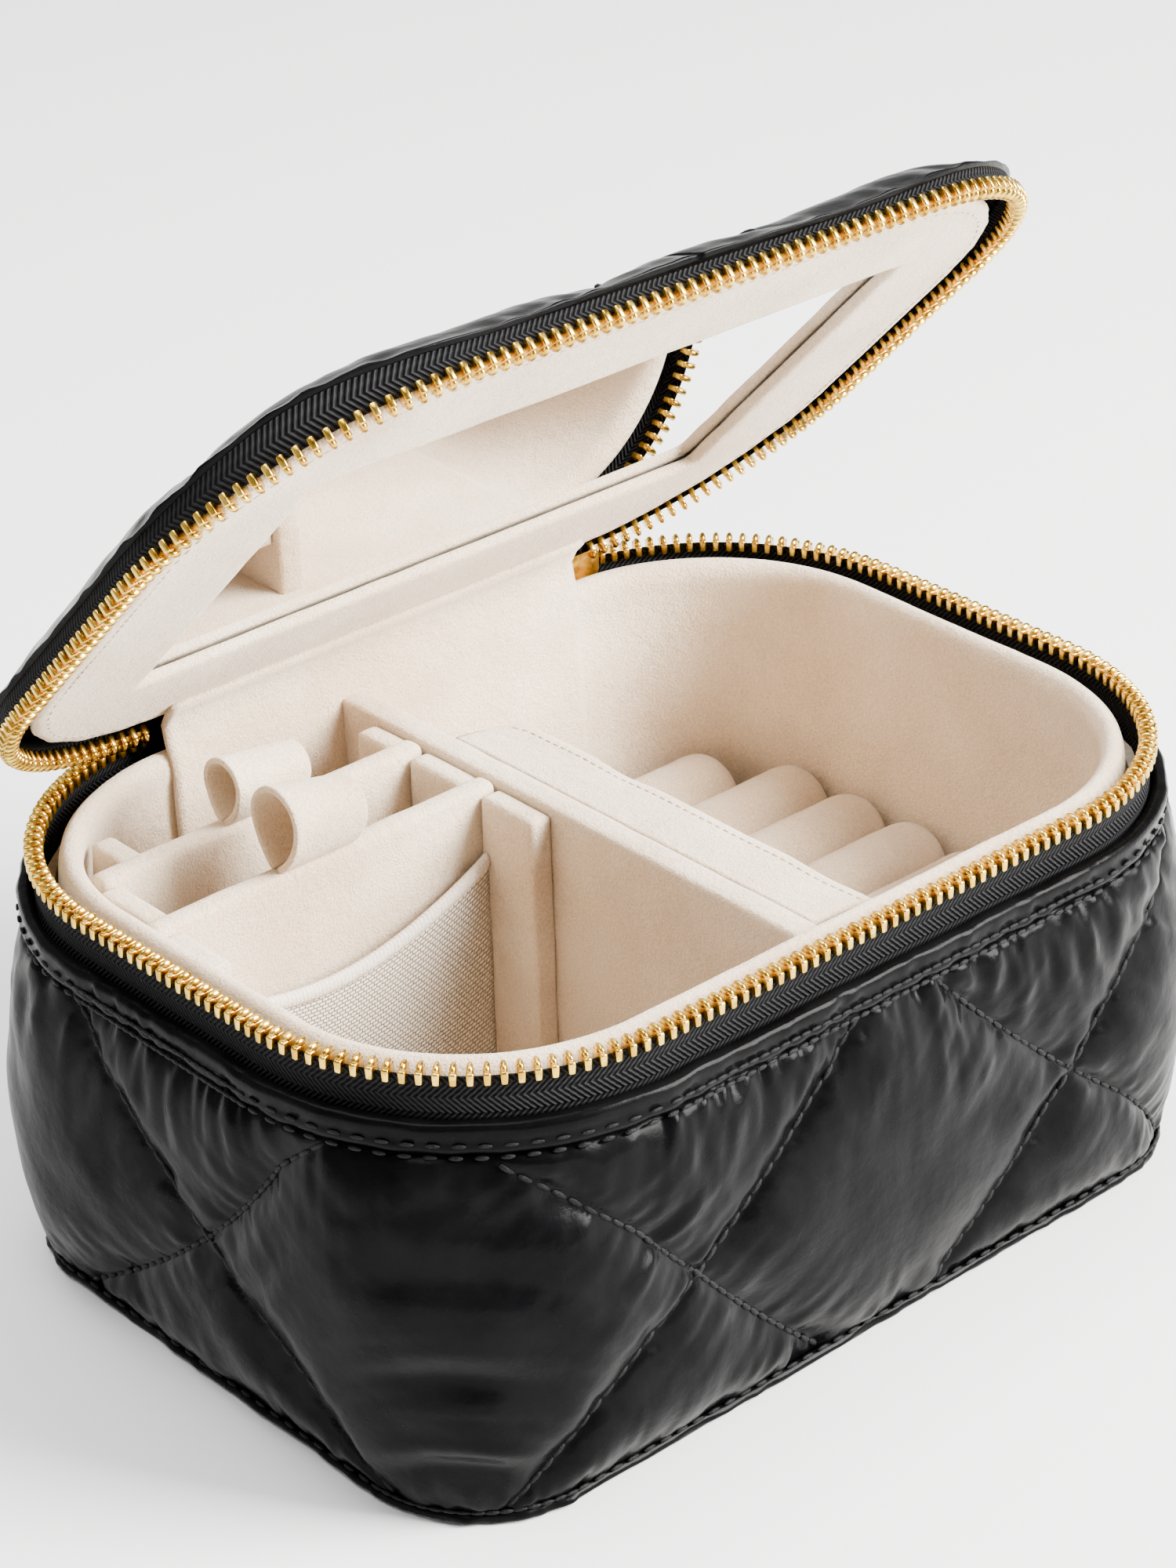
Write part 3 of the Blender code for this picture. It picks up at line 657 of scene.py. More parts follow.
def cover_puff(distance, height):
    """How far the nylon stands out from its seams, in millimetres."""
    first, second = seam_phases(distance, height)
    near, far = to_seam(first), to_seam(second)
    to_top = np.maximum(COVER_HIGH - height, 0.0)
    to_base = np.maximum(height - COVER_LOW, 0.0)
    nearest = np.minimum(np.minimum(near, far), np.minimum(to_top * 0.9, to_base))
    soft = nearest_softly(near, far, to_top, to_base)
    side = signed_distance(distance)
    corner = np.exp(-((side - CORNER_AT) / 26.0) ** 2)
    puff = (PUFF + 0.8 * corner) * np.tanh(soft / 7.0) ** 0.8
    pulled = np.zeros_like(puff)
    for gap, run, count, seed, size, reach in ((near, second * SLANTED, np.round(first), 1, 0.55, 6.0),
                                               (far, first * SLANTED, np.round(second), 2, 0.55, 6.0),
                                               (to_top, side, 0 * side, 3, 0.95, 8.5),
                                               (to_base, side, 0 * side, 4, 0.6, 5.0)):
        wave = ripple(run / 3.0 + 17.0 * count, gap / 9.0 + 5.0 * count, seed)
        wave = wave + 0.5 * ripple(run / 1.5 + 7.0 * count, gap / 7.0, seed + 10)
        pulled += size * wave * np.exp(-gap / reach) * np.tanh(gap / 0.9)
    hang = height + 0.020 * (side - CORNER_AT) ** 2
    folds = ripple(hang / 5.2, side / 24.0, 21) * 1.0 + ripple(hang / 2.8, side / 16.0, 22) * 0.22
    folds = folds * corner * np.tanh(nearest / 7.0)
    slow = 0.55 * ripple(side / 11.0 + height / 17.0, height / 12.0 - side / 30.0, 31) * np.tanh(nearest / 5.0)
    return puff + pulled + folds + slow


def seam_level(height):
    """How far the seams themselves stand out from the box."""
    share = (height - COVER_LOW) / (COVER_HIGH - COVER_LOW)
    return 2.0 + 1.1 * np.sin(np.clip(share, 0, 1) * math.pi) - 0.4 * share


# %% Build the quilted wall
def wall_out(distance, height):
    """How far the nylon stands out from the box, tucked in at both edges."""
    edge = np.clip((COVER_HIGH - height) / 1.2, 0, 1) ** 0.5
    return 1.0 + (seam_level(height) - 1.0 + np.maximum(cover_puff(distance, height), 0.0)) * edge


def make_wall():
    length = perimeter(MIDDLE_PLAN)
    steps, rows, face_share = 820, 104, 0.93
    tall = COVER_HIGH - COVER_LOW

    def place(u, v):
        distance = u * length
        face = np.clip(v / face_share, 0.0, 1.0)
        back = np.clip((v - face_share) / (1 - face_share), 0.0, 1.0)
        height = np.where(v <= face_share, COVER_LOW + face * tall,
                          COVER_HIGH - tall * np.clip(back * 2 - 0.5, 0, 1))
        foot = wall_out(distance, np.full_like(distance, COVER_LOW))
        inner = -0.1 + 1.1 * np.clip(1 - back * 4, 0, 1) + (foot + 0.1) * np.clip(back * 4 - 3, 0, 1)
        out = np.where(v <= face_share, wall_out(distance, height), inner)
        x, y, _, _ = around(wall_plan(height, out), distance, MIDDLE_PLAN)
        return stack(x, y, height), stack(distance, v * 70.0)

    mesh = mapped_grid("quilted_nylon_wall", steps, rows, place)
    wall = new_object("quilted_nylon_wall", mesh, NYLON, "case_body")
    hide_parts("quilted_wall_cover")
    return wall


wall = make_wall()
print("quilted wall faces", len(wall.data.polygons))

# %% [markdown]
# ## Stitches
# The quilting thread is thick, so each stitch shows as a short bead with a dip at both ends. One small bead
# is modelled and copied along every seam, lying in the seam's direction. A few dozen faces are enough.
# %% One stitch, copied along a path
def stitch_template(length, width):
    bead = bmesh.new()
    bmesh.ops.create_uvsphere(bead, u_segments=6, v_segments=6, radius=0.5)
    bmesh.ops.rotate(bead, verts=bead.verts, cent=(0, 0, 0), matrix=Matrix.Rotation(math.pi / 2, 3, "Y"))
    bmesh.ops.scale(bead, verts=bead.verts, vec=(length, width, width * 0.8))
    return bead


def copy_along(name, template, places, forward, up, material, body):
    """Copies of one small mesh at each place, its X along forward and its Z along up."""
    part = bpy.data.meshes.new(name + "_one")
    template.to_mesh(part)
    template.free()
    joined = bmesh.new()
    for _ in places:
        joined.from_mesh(part)
    mesh = bpy.data.meshes.new(name)
    joined.to_mesh(mesh)
    joined.free()
    one = read_triples(part.vertices, "co")
    bpy.data.meshes.remove(part)
    forward = forward / np.linalg.norm(forward, axis=1)[:, None]
    side = np.cross(up, forward)
    side = side / np.linalg.norm(side, axis=1)[:, None]
    top = np.cross(forward, side)
    turned = one[None, :, 0, None] * forward[:, None] + one[None, :, 1, None] * side[:, None]
    turned = turned + one[None, :, 2, None] * top[:, None] + places[:, None]
    mesh.vertices.foreach_set("co", (turned * MM).ravel())
    mesh.update()
    return new_object(name, mesh, material, body)


def wall_points(distance, height, lift):
    """Points on the quilted wall, lifted off it, with the outward direction."""
    out = wall_out(distance, height) + lift
    x, y, nx, ny = around(wall_plan(height, out), distance, MIDDLE_PLAN)
    return stack(x, y, height), stack(nx, ny, 0 * nx)


# %% Quilting stitches
STITCH_PITCH = 2.5
QUILT_STITCH = (2.5, 1.0)  # length and width of one stitch


def seam_paths():
    """Distance and height of each quilting stitch."""
    found = []
    length = perimeter(MIDDLE_PLAN)
    for sign in (1, -1):
        for number in range(-5, 6):
            rise = np.linspace(COVER_LOW + 0.8, COVER_HIGH - 0.8, 400)
            along = number + sign * (rise - CROSSING_HEIGHT) / SEAM_RISE
            side = CROSSING_FRONT + np.where(along > 0, along * DIAMOND, along * DIAMOND_LEFT)
            run, at = walker(stack(side, rise))
            side, rise = at(np.arange(STITCH_PITCH / 2, run, STITCH_PITCH) / run)
            inside = np.abs(side) < length / 2 - 1.0
            found.append(stack(side[inside], rise[inside]))
    return [line for line in found if len(line) > 3]


def make_seam_stitches():
    places, ways, ups = [], [], []
    for line in seam_paths():
        points, normals = wall_points(line[:, 0], line[:, 1], 0.12)
        places.append(points)
        ways.append(np.gradient(points, axis=0))
        ups.append(normals)
    return copy_along("quilting_stitches", stitch_template(*QUILT_STITCH), np.concatenate(places),
                      np.concatenate(ways), np.concatenate(ups), BLACK_THREAD, "case_body")


seam_stitches = make_seam_stitches()
print("quilting stitches", len(seam_stitches.data.polygons) // 36)

# %% [markdown]
# ## The rim band and the bottom piping
# Above the quilting, the nylon is folded over into a flat double-stitched band that holds the zip tape.
# Round the foot runs a thick corded welt. Both are swept rings whose section was chosen.
# %% Rim band
BAND_SECTION = [(0.9, 56.9), (2.0, 56.7), (2.7, 57.2), (2.95, 58.0), (2.8, 58.9), (2.95, 59.8), (3.0, 60.6),
                (2.6, 61.3), (1.7, 61.5), (0.9, 61.2), (0.85, 59.0)]


def band_shift(distance, out, height):
    side = signed_distance(distance)
    pucker = 0.20 * ripple(side / 2.4, height / 2.5, 41) + 0.12 * ripple(side / 5.0, height / 4.0, 42)
    face = np.clip((out - 0.9) / 1.0, 0, 1)
    return out + pucker * face, height + 0.12 * ripple(side / 6.0, height * 0 + 1.0, 43)


RING_STEPS = 560


def make_band():
    mesh = swept_ring("rim_band_fold", BAND_SECTION, RING_STEPS, 36, band_shift, rim_plan_at)
    band = new_object("rim_band_fold", mesh, NYLON, "case_body")
    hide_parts("rim_band")


def ring_stitches(name, out, height, pitch, length, width, body, plan_at=rim_plan_at, tilt=False,
                  material=BLACK_THREAD, facing=None):
    """A row of stitches round a plan."""
    count = int(perimeter(plan_at(height, out)) / pitch)
    distance = np.arange(count) * perimeter(MIDDLE_PLAN) / count
    level = np.full(count, float(height))
    x, y, nx, ny = around(plan_at(level, out), distance, MIDDLE_PLAN)
    places = stack(x, y, level)
    normals = stack(nx, ny, 0 * nx)
    ways = stack(-ny, nx, 0 * nx)
    if facing is not None:
        normals = np.tile(np.array(facing, float), (count, 1))
    if tilt:
        places, normals, ways = opened(places), opened_ways(normals), opened_ways(ways)
    return copy_along(name, stitch_template(length, width), places, ways, normals, material, body)


make_band()
ring_stitches("band_stitches_upper", 3.0, 58.5, 2.3, 1.9, 0.6, "case_body")
ring_stitches("band_stitches_lower", 2.6, 56.5, 2.3, 1.9, 0.8, "case_body")

# %% Bottom piping and base
def welt_section(radius, centre_out, centre_height, points=10):
    turns = [2 * math.pi * number / points for number in range(points)]
    return [(centre_out + radius * math.cos(turn), centre_height + radius * math.sin(turn)) for turn in turns]


def welt_shift(distance, out, height):
    side = signed_distance(distance)
    lumps = 0.16 * ripple(side / 1.6, height, 51) + 0.3 * ripple(side / 5.0, height, 52)
    return out + lumps, height


def make_foot():
    mesh = swept_ring("bottom_welt", welt_section(0.85, 2.5, 1.05), RING_STEPS, 14, welt_shift, wall_plan)
    welt = new_object("bottom_welt", mesh, NYLON, "case_body")
    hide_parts("bottom_piping")
    ring_stitches("welt_stitches", 3.0, 2.1, 2.6, 2.1, 0.7, "case_body", wall_plan)
    recoat("bottom_cover", NYLON)


make_foot()

# %% [markdown]
# ## The zip
# Each half has a woven tape whose edge carries a row of brass teeth. A tooth is a block clamped astride the
# tape, with a round nose that stands past its edge. The noses of one half fall between those of the other.
# %% Zip tapes
ZIP_START_TURN, ZIP_END_TURN = 8.5, 0.5
TOOTH_PITCH = 2.08
TAPE_OUT = (-0.25, 0.45)   # the tape's two faces, measured out from the rim


def zip_run(plan, margin=0.0):
    """The zip's stretch as a start and a length: from the left of the hinge, round the front, to the slider."""
    lengths, starts = plan_lengths(plan), plan_starts(plan)
    right_end = starts[4] - lengths[3] * ZIP_START_TURN / 90.0
    left_end = starts[5] + lengths[5] * ZIP_END_TURN / 90.0
    return left_end - margin, starts[-1] - (left_end - right_end) + 2 * margin


def lid_lift(distance):
    """The lid's edge isn't flat: it swells at the front left corner and dips right of the middle."""
    side = np.mod(distance + 200.0, perimeter(RIM_PLAN)) - 200.0
    return 2.3 * np.exp(-((side + 62.0) / 17.0) ** 2) - 1.0 * np.exp(-((side - 28.0) / 20.0) ** 2)


def make_tape_piece(name, low, high, node, body, lid):
    start, length = zip_run(RIM_PLAN, 0.6)
    inner, outer = TAPE_OUT
    girth, at = walker([(inner, low), (outer, low), (outer, high), (inner, high), (inner, low)])

    def place(u, v):
        out, height = at(v)
        distance = start + u * length
        if lid:
            height = height + lid_lift(distance) * np.clip((height - low) / (high - low), 0, 1)
        x, y, _, _ = around(grown(RIM_PLAN, out), distance, RIM_PLAN)
        points = stack(x, y, height)
        return (opened(points) if lid else points), stack(distance, v * girth)

    mesh = mapped_grid(name, 300, 22, place)
    fill_holes(mesh)
    tape = new_object(name, mesh, TAPE, body)
    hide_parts(node)


make_tape_piece("lower_herringbone_tape", 58.2, 67.0, "lower_zip_tape", "case_body", False)
make_tape_piece("upper_herringbone_tape", 69.4, 72.6, "upper_zip_tape", "lid", True)


# %% Zip teeth
def tooth_template():
    """A block astride the tape and a round nose above it; Z points away from the tape."""
    tooth = bmesh.new()
    block = bmesh.ops.create_cube(tooth, size=1.0)["verts"]
    bmesh.ops.scale(tooth, verts=block, vec=(1.0, 2.7, 1.9))
    bmesh.ops.translate(tooth, verts=block, vec=(0, 0, -0.55))
    bmesh.ops.bevel(tooth, geom=tooth.edges[:], offset=0.28, segments=2, profile=0.5, affect="EDGES",
                    material=-1)
    nose = bmesh.ops.create_uvsphere(tooth, u_segments=10, v_segments=7, radius=0.5)["verts"]
    bmesh.ops.scale(tooth, verts=nose, vec=(1.02, 2.3, 1.5))
    bmesh.ops.translate(tooth, verts=nose, vec=(0, 0.1, 0.45))
    return tooth


def make_teeth(name, level, node, body, lid):
    start, length = zip_run(RIM_PLAN)
    count = int(length / TOOTH_PITCH)
    offset = TOOTH_PITCH / 2 if lid else 0.0
    distance = start + offset + np.arange(count) * TOOTH_PITCH
    x, y, nx, ny = around(RIM_PLAN, distance, RIM_PLAN)
    places = stack(x, y, np.full(count, level))
    ways = stack(-ny, nx, 0 * nx)
    ups = np.tile([0.0, 0.0, -1.0 if lid else 1.0], (count, 1))
    if lid:
        ways = -ways
        places, ways, ups = opened(places), opened_ways(ways), opened_ways(ups)
    teeth = copy_along(name, tooth_template(), places, ways, ups, BRASS, body)
    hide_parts(node)
    print(name, count)


make_teeth("lower_zip_teeth", 67.6, "lower_zip_chain", "case_body", False)
make_teeth("upper_zip_teeth", 68.6, "upper_zip_chain", "lid", True)

# %% [markdown]
# ## The padded lining
# Inside, one run of padded suede rolls over the rim, goes down the wall and meets the floor. The roll is
# fatter than the wall below it, and the wall swells gently between its edges.
# %% Wall lining and floor
LINING_SECTION = [(-2.5, 5.3), (-2.5, 30.0), (-2.6, 58.0), (-3.0, 62.0), (-3.2, 65.0), (-3.8, 66.4),
                  (-4.9, 66.9), (-6.0, 66.5), (-6.65, 65.4), (-6.7, 63.9), (-6.3, 62.2), (-5.9, 60.0),
                  (-5.6, 55.0), (-5.5, 45.0), (-5.5, 30.0), (-5.4, 15.0), (-5.3, 5.5)]


def smoothed(section, rounds=2):
    """Corner cutting: each side of the section gives two points, so the corners turn into curves."""
    points = np.array(section, float)
    for _ in range(rounds):
        after = np.roll(points, -1, axis=0)
        points = stack(points * 0.75 + after * 0.25, points * 0.25 + after * 0.75).reshape(-1, 2)
    return [tuple(point) for point in points]


def lining_shift(distance, out, height):
    side = signed_distance(distance)
    face = np.clip((-out - 3.4) / 1.5, 0, 1)
    soft = 0.16 * ripple(side / 14.0, height / 14.0, 61) + 0.07 * ripple(side / 4.0, height / 4.0, 62)
    return out - soft * face, height


def make_lining():
    mesh = swept_ring("suede_wall_lining", smoothed(LINING_SECTION), 300, 110, lining_shift, wall_plan)
    lining = new_object("suede_wall_lining", mesh, SUEDE, "case_body")
    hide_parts("wall_lining", "lining_rim_roll")


make_lining()

# %% [markdown]
# ## Softening plain pads
# The dividers, guides and rolls are plain blocks in the working model. Real ones are board or foam in a
# sleeve of suede, so every edge is round. A voxel remesh gives an even skin, smoothing rounds its edges,
# and a small swell along the normals fills the sleeve. Pads of the tilted lid are laid flat for the remesh.
# %% Soft copies of plain pads
def soft_copy(node, name, voxel, rounds, swell=0.0, lid=False, seed=0, crumple=0.0):
    mesh = NODES[node].data.copy()
    mesh.name = name
    shape = bmesh.new()
    shape.from_mesh(mesh)
    bmesh.ops.remove_doubles(shape, verts=shape.verts, dist=1e-6)
    shape.to_mesh(mesh)
    shape.free()
    if lid:
        mesh.transform(LID_SWING.inverted())
    holder = add_object(name + "_raw", mesh)
    skin = holder.modifiers.new("even_skin", "REMESH")
    skin.mode = "VOXEL"
    skin.voxel_size = voxel * MM
    relax = holder.modifiers.new("round_edges", "SMOOTH")
    relax.factor = 0.5
    relax.iterations = rounds
    result = baked(name, holder)
    points, normals = read_triples(result.vertices, "co") / MM, read_triples(result.vertices, "normal")
    wave = ripple(points[:, 0] / 5.0 + points[:, 2] / 9.0, points[:, 1] / 5.0 + points[:, 2] / 7.0, seed)
    points = points + normals * (swell + crumple * wave)[:, None]
    result.vertices.foreach_set("co", (points * MM).ravel())
    if lid:
        result.transform(LID_SWING)
    return result


def add_soft(node, name, body, voxel=0.9, rounds=4, swell=0.2, lid=False, seed=0, crumple=0.1):
    mesh = soft_copy(node, name, voxel, rounds, swell, lid, seed, crumple)
    pad = new_object(name, mesh, SUEDE, body)
    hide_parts(node)


# %% Floor, dividers, guides and rolls
add_soft("floor_lining", "suede_floor", "case_body", 0.8, 3, 0.0, crumple=0.08)
add_soft("main_divider", "suede_main_divider", "case_body", 0.8, 5, 0.15, seed=71)
add_soft("front_cross_divider", "suede_front_divider", "front_divider", 0.7, 5, 0.15, seed=72)
add_soft("rear_cross_divider", "suede_rear_divider", "rear_divider", 0.7, 5, 0.15, seed=73)
for row_number, row in enumerate(("front", "middle", "rear")):
    add_soft("divider_guide_" + row, "suede_divider_guide_" + row, "case_body", 0.6, 4, 0.1, seed=74 + row_number)
    add_soft("wall_guide_" + row, "suede_wall_guide_" + row, "case_body", 0.6, 4, 0.1, seed=77 + row_number)
add_soft("ring_roll_base", "suede_roll_base", "case_body", 0.9, 4, 0.0, seed=81)
for number in range(1, 8):
    add_soft("ring_roll_" + str(number), "suede_ring_roll_" + str(number), "case_body", 0.7, 6, 0.75,
             seed=82 + number, crumple=0.12)

# %% [markdown]
# ## Finger loops
# Each cross divider lifts out by a strip of suede sewn into its top edge as a loop. The strip is a grid
# bent into a drop shape, pinched where it enters the seam, and thickened with Solidify.
# %% Finger loops
def make_loop(name, node, body, height, flare):
    low, high = box_mm(node)
    lean = 0.5
    middle_y = (low.y + high.y) / 2
    base = low.z - 0.4
    low.x, high.x = low.x + 2.0, high.x + 2.0

    def place(u, v):
        turn = 2 * math.pi * (0.045 + 0.91 * u)
        pinch = np.sin(turn / 2) ** 0.6
        size = height / 2 * (1.0 + flare * (0.5 - v))
        y = middle_y + size * 0.92 * np.sin(turn) * pinch
        z = base + size * (1 - np.cos(turn))
        x = low.x + (high.x - low.x) * v + lean * (z - base) / height
        y = y + 0.25 * ripple(u * 7, v * 3, 91) * pinch
        return stack(x, y, z), stack(v * (high.x - low.x), u * 38.0)

    solid = thickened(name, mapped_grid(name, 48, 14, place, weld=False), 1.0, 0.3)
    strap = new_object(name, solid, SUEDE, body)
    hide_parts(node)
    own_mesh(strap)


make_loop("suede_front_loop", "front_finger_loop", "front_divider", 10.8, 0.25)
make_loop("suede_rear_loop", "rear_finger_loop", "rear_divider", 8.6, 0.2)

# %% [markdown]
# ## The elastic pocket
# A ribbed elastic panel is sewn to the front divider down both sides and along the foot. Its top edge is
# free, so it sags between the seams and swells forward. A corded hem finishes the edge.
# %% Elastic pocket
def pocket_top(share):
    """Height of the free edge, from the left seam to the right."""
    return 50.0 - 4.0 * np.sin(np.clip(share, 0, 1) * math.pi) * (1 - 0.5 * share) + 4.5 * share ** 2.2


def make_pocket():
    low, high = box_mm("elastic_pocket")
    back, belly = high.y, 1.9          # the seams' plane, and how far the middle stands out from it

    def place(u, v):
        top = pocket_top(u)
        z = low.z + v * (top - low.z)
        swell = np.sin(u * math.pi) ** 0.6
        y = back - 1.2 - belly * swell * (0.35 + 0.65 * v) - 0.12 * ripple(u * 14, v * 6, 95)
        x = low.x + (high.x - low.x) * u
        return stack(x, y, z), stack(u * (high.x - low.x), v * 45.0)

    mesh = mapped_grid("ribbed_pocket_panel", 60, 44, place, weld=False)
    solid = thickened("ribbed_pocket_panel", mesh, 0.8)
    panel = new_object("ribbed_pocket_panel", solid, ELASTIC, "front_divider")
    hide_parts("elastic_pocket")

    def hem_place(u, v):
        turn = 2 * math.pi * v
        ribs = 1.0 + 0.05 * np.sin(u * 2 * math.pi * 75)
        swell = np.sin(u * math.pi) ** 0.6
        y = back - 1.3 - belly * swell + 0.85 * np.cos(turn) * ribs
        z = pocket_top(u) + 1.25 * np.sin(turn) * ribs
        x = low.x + (high.x - low.x) * u
        return stack(x, y, z), stack(u * 48.0, v * 5.0)

    hem_mesh = mapped_grid("pocket_hem_cord", 300, 10, hem_place)
    fill_holes(hem_mesh)
    hem = new_object("pocket_hem_cord", hem_mesh, CREAM_THREAD, "front_divider")


make_pocket()

# %% [markdown]
# ## The flap over the rolls
# A single layer of suede is sewn along the long divider. It lies over the left ends of the rolls, and its
# free edge carries a hem with small stitches. It waves a little, because nothing holds that edge.
# %% Flap
def make_flap():
    low, high = box_mm("divider_flap")
    back_corner = 6.0

    def place(u, v):
        y = low.y + (high.y - low.y) * u
        near_back = np.clip((u * (high.y - low.y) - (high.y - low.y - back_corner)) / back_corner, 0, 1)
        reach = (high.x - low.x) * (1 - 0.55 * (1 - np.sqrt(np.clip(1 - near_back ** 2, 0, 1))))
        x = low.x + reach * v
        z = (low.z + high.z) / 2 + 0.3 - 0.9 * v ** 2 + 0.35 * v * ripple(u * 9, v * 2, 97)
        return stack(x, y, z), stack(u * 73.0, v * 11.0)

    solid = thickened("suede_flap", mapped_grid("suede_flap", 90, 16, place, weld=False), 1.1)
    flap = new_object("suede_flap", solid, SUEDE, "flap")
    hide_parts("divider_flap")
    count = 44
    u = (np.arange(count) + 0.5) / count * 0.97
    points, _ = place(u, np.full(count, 0.86))
    points[:, 2] += 0.55
    ways = np.gradient(points, axis=0)
    ups = np.tile([0.0, 0.0, 1.0], (count, 1))
    seam = copy_along("flap_hem_stitches", stitch_template(1.2, 0.4), points, ways, ups, SEAM_THREAD, "flap")


make_flap()

# %% [markdown]
# ## The lid
# The lid is a thin padded tray: black quilted nylon outside, and inside a suede panel with the mirror let
# into it. Its pieces are worked out for a closed lid and then turned to where the lid stands.
# %% Quilted lid cover
LID_EDGE_LOW, LID_EDGE_HIGH = 72.1, 72.9
LID_PUFF, LID_CROWN = 2.4, 4.2         # height of one diamond's padding, and of the whole lid's


def lid_puff(x, y):
    """Height of the quilted top over its seams, on the closed lid."""
    first = (x - CROSSING_FRONT + y) / DIAMOND
    second = (x - CROSSING_FRONT - y) / DIAMOND
    near, far = to_seam(first), to_seam(second)
    soft = nearest_softly(near, far)
    puff = LID_PUFF * np.tanh(soft / 7.0) ** 0.8
    for gap, run, seed in ((near, second * SLANTED, 101), (far, first * SLANTED, 102)):
        puff = puff + 0.32 * ripple(run / 2.7, gap / 9.0, seed) * np.exp(-gap / 5.5) * np.tanh(gap / 0.9)
    return puff + 0.35 * ripple(x / 11.0, y / 11.0, 103) * np.tanh(soft / 5.0)


def lid_height(x, y, inward):
    """Height of the closed lid's quilted top, by place and by how far in from the edge that is."""
    crown = LID_EDGE_HIGH + LID_CROWN * (1 - np.exp(-inward / 8.0))
    return crown + lid_puff(x, y) * (1 - np.exp(-inward / 5.5))


def make_lid_cover():
    width, depth, radius = RIM_PLAN
    steps, rows, edge_share = 480, 70, 0.16
    slot = 0.8             # the rings stop this far from the middle line, and one long face closes the slot

    def place(u, v):
        distance = u * perimeter(RIM_PLAN)
        edge = np.clip(v / edge_share, 0, 1)
        top = np.clip((v - edge_share) / (1 - edge_share), 0, 1)
        inward = top ** 1.15 * depth / 2
        bulge = -0.55 - 0.5 * np.sin(edge * math.pi * 0.8)
        inset = np.where(v < edge_share, bulge, np.minimum(inward - 0.99 * np.exp(-inward / 0.7), inward))
        inset = np.minimum(inset, depth / 2 - slot)
        plan = (width - 2 * inset, depth - 2 * inset, np.maximum(radius - inset, slot / 2))
        x, y, _, _ = around(plan, distance, RIM_PLAN)
        corner = lid_lift(distance) * np.exp(-inward / 14.0)
        height = np.where(v < edge_share, LID_EDGE_LOW + (1 - (1 - edge) ** 1.6) * (LID_EDGE_HIGH - LID_EDGE_LOW),
                          lid_height(x, y, inward))
        pucker = 0.28 * ripple(distance / 2.6, inward / 8.0, 111) * np.exp(-inward / 8.0)
        height = height + corner + pucker * edge
        y = np.minimum(y, depth / 2 + 0.2)
        points = stack(x, y, height)
        return opened(points), stack(distance, v * 60.0)

    mesh = mapped_grid("quilted_nylon_lid", steps, rows, place)
    fill_holes(mesh)
    cover = new_object("quilted_nylon_lid", mesh, NYLON, "lid")
    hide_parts("quilted_lid_cover")


make_lid_cover()


def lid_skin(x, y):
    """Distances in from the edge and points just over the closed lid's quilted top, for stitches."""
    width, depth, radius = RIM_PLAN
    corner_x = np.maximum(np.abs(x) - (width / 2 - radius), 0)
    corner_y = np.maximum(np.abs(y) - (depth / 2 - radius), 0)
    inward = np.where((corner_x > 0) & (corner_y > 0), radius - np.hypot(corner_x, corner_y),
                      np.minimum(width / 2 - np.abs(x), depth / 2 - np.abs(y)))
    return inward, stack(x, y, lid_height(x, y, inward) + 0.15)


def make_lid_stitches():
    places, ways = [], []
    for sign in (1, -1):
        for number in range(-4, 5):
            y = np.arange(-54.0, 54.0, STITCH_PITCH / math.sqrt(2))
            x = CROSSING_FRONT + number * DIAMOND - sign * y
            inward, points = lid_skin(x, y)
            inside = inward > 5.0
            if inside.sum() > 3:
                places.append(points[inside])
                ways.append(np.gradient(points[inside], axis=0))
    places, ways = opened(np.concatenate(places)), opened_ways(np.concatenate(ways))
    ups = opened_ways(np.tile([0.0, 0.0, 1.0], (len(places), 1)))
    copy_along("lid_quilting_stitches", stitch_template(*QUILT_STITCH), places, ways, ups, BLACK_THREAD, "lid")


make_lid_stitches()


# %% Mirror frame, mirror and boards
def make_stiffener():
    """The lid's board: a thin plate set in from the rim."""
    count, inset, foot, thick = 120, 2.6, 72.35, 0.6
    turns = np.arange(count) / count * perimeter(RIM_PLAN)
    x, y, _, _ = around(grown(RIM_PLAN, -inset), turns, RIM_PLAN)
    board = bmesh.new()
    low = board.faces.new([board.verts.new(point) for point in zip(x * MM, y * MM, np.full(count, foot * MM))])
    top = bmesh.ops.extrude_face_region(board, geom=[low])["geom"]
    bmesh.ops.translate(board, verts=[item for item in top if isinstance(item, bmesh.types.BMVert)],
                        vec=(0, 0, thick * MM))
    bmesh.ops.recalc_face_normals(board, faces=board.faces)
    mesh = bpy.data.meshes.new("lid_stiffener")
    board.to_mesh(mesh)
    board.free()
    mesh.transform(LID_SWING)
    stiffener = new_object("lid_stiffener", mesh, CARD, "lid")
    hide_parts("lid_board")


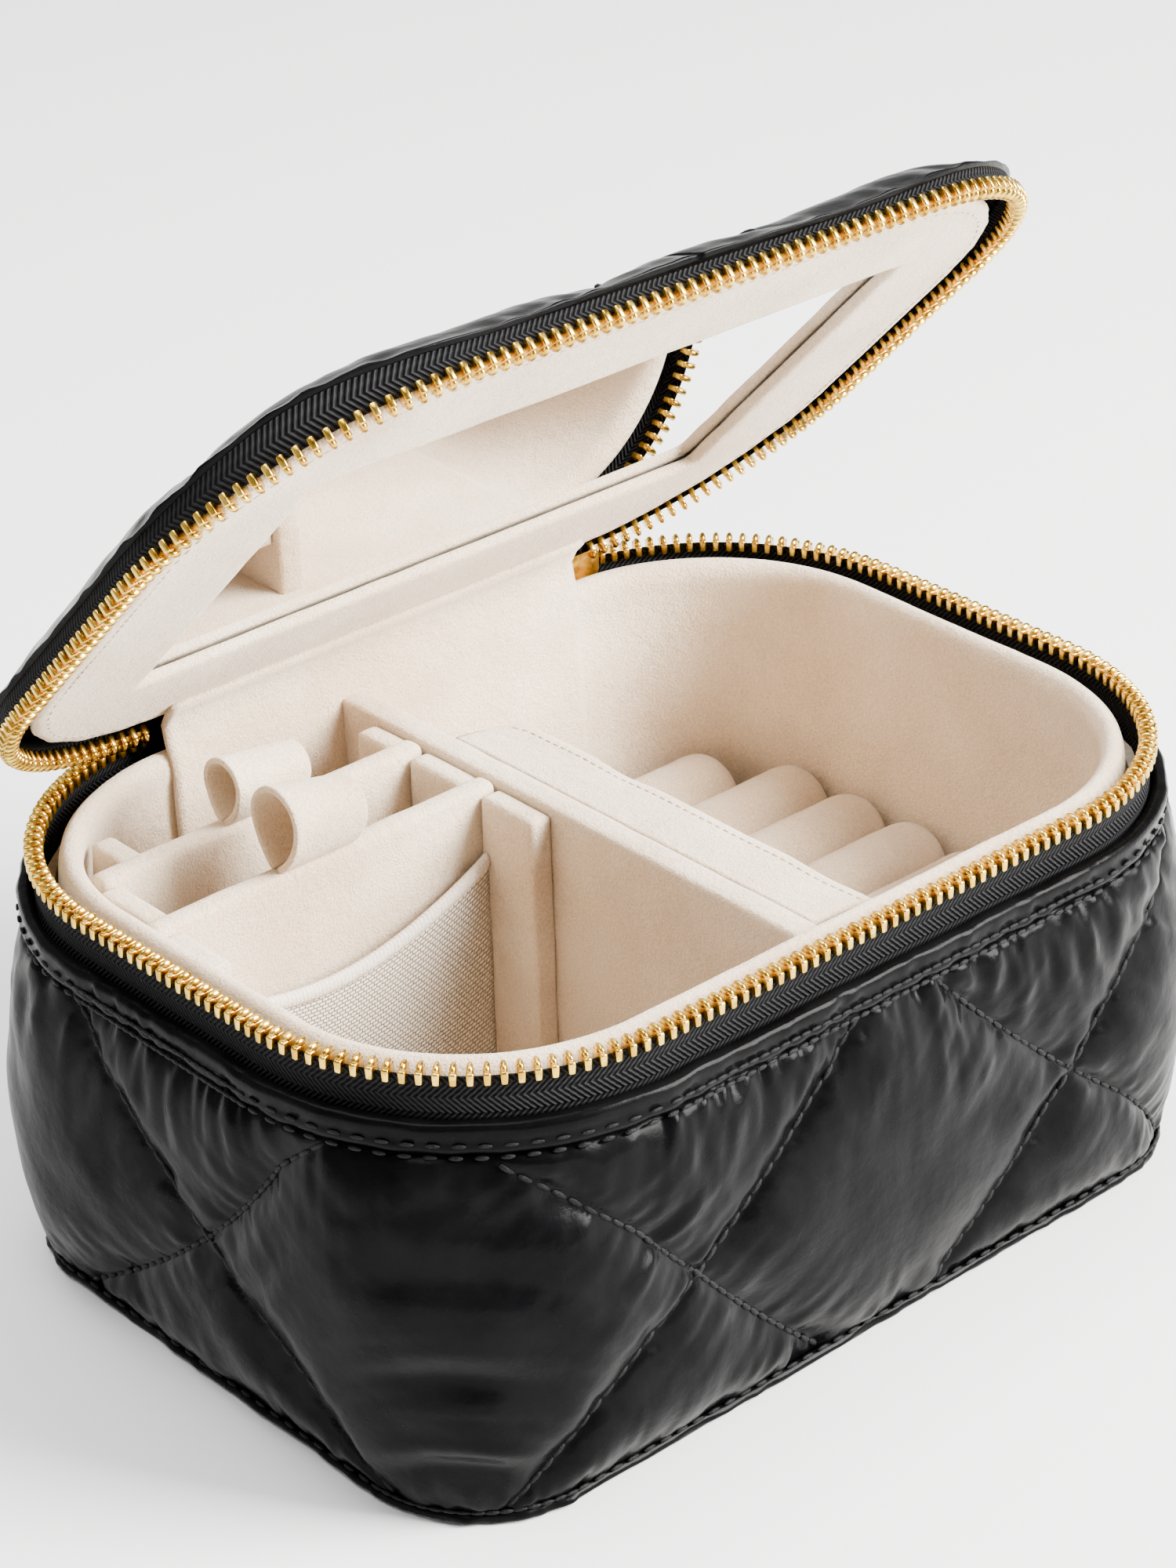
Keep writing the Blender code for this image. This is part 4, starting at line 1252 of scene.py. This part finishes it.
def make_lid_inside():
    add_soft("mirror_frame_panel", "suede_mirror_frame", "lid", 0.6, 4, 0.1, lid=True, seed=121, crumple=0.06)
    ring_stitches("mirror_frame_stitches", -6.2, 69.15, 2.1, 1.4, 0.45, "lid", tilt=True, material=SEAM_THREAD,
                  facing=(0, 0, -1))
    recoat("mirror", MIRROR)
    make_stiffener()
    for name in ("mirror_surround_board", "wall_board", "bottom_board"):
        recoat(name, CARD)


make_lid_inside()

# %% [markdown]
# ## The hinge
# The lid hangs on two strips of cloth, black outside and suede inside. Each strip crosses the hinge line,
# so it bends: its foot follows the box, its top follows the lid, and the part between turns smoothly.
# %% Hinge strips
def make_strip(name, path, half, thick, material, nodes):
    """A strip along X through a path of (y, z) points, bending between the box and the lid."""
    length, at = walker(path)

    def place(u, v):
        y, z = at(v)
        x = -half + 2 * half * u
        return stack(x, y, z), stack(x, v * length)

    solid = thickened(name, mapped_grid(name, 60, 24, place, weld=False), thick)
    strip = new_object(name, solid, material, None)
    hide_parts(*nodes)
    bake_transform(strip)


make_strip("suede_hinge_gusset", [(46.2, 12.0), (46.6, 30.0), (47.4, 48.0), (47.8, 58.0), (47.7, 64.5),
                                  (48.7, 67.6), (49.7, 70.0), (49.4, 72.2), (46.5, 75.2)],
           38.6, 0.9, SUEDE, ["hinge_lining"])
make_strip("nylon_hinge_strip", [(56.6, 58.5), (56.3, 65.0), (55.7, 69.0), (55.8, 72.6)], 39.4, 0.8, TAPE,
           ["hinge_strip_lower", "hinge_strip_upper"])

# %% [markdown]
# ## Slider, bail and pull tab
# These are cast and stamped brass. Their working shapes are right already, so they keep their meshes and
# only get the brass finish and smooth shading, kept sharp where faces meet at more than 40 degrees.
# %% Brass fittings
for name in ("zip_slider_body", "zip_slider_bail", "zip_pull_tab"):
    recoat(name, BRASS)
    NODES[name].data.shade_smooth()
    NODES[name].data.set_sharp_from_angle(angle=math.radians(40))

# %% [markdown]
# ## Finish
# A last update brings the scene up to date.
# %% The last line
bpy.context.view_layer.update()
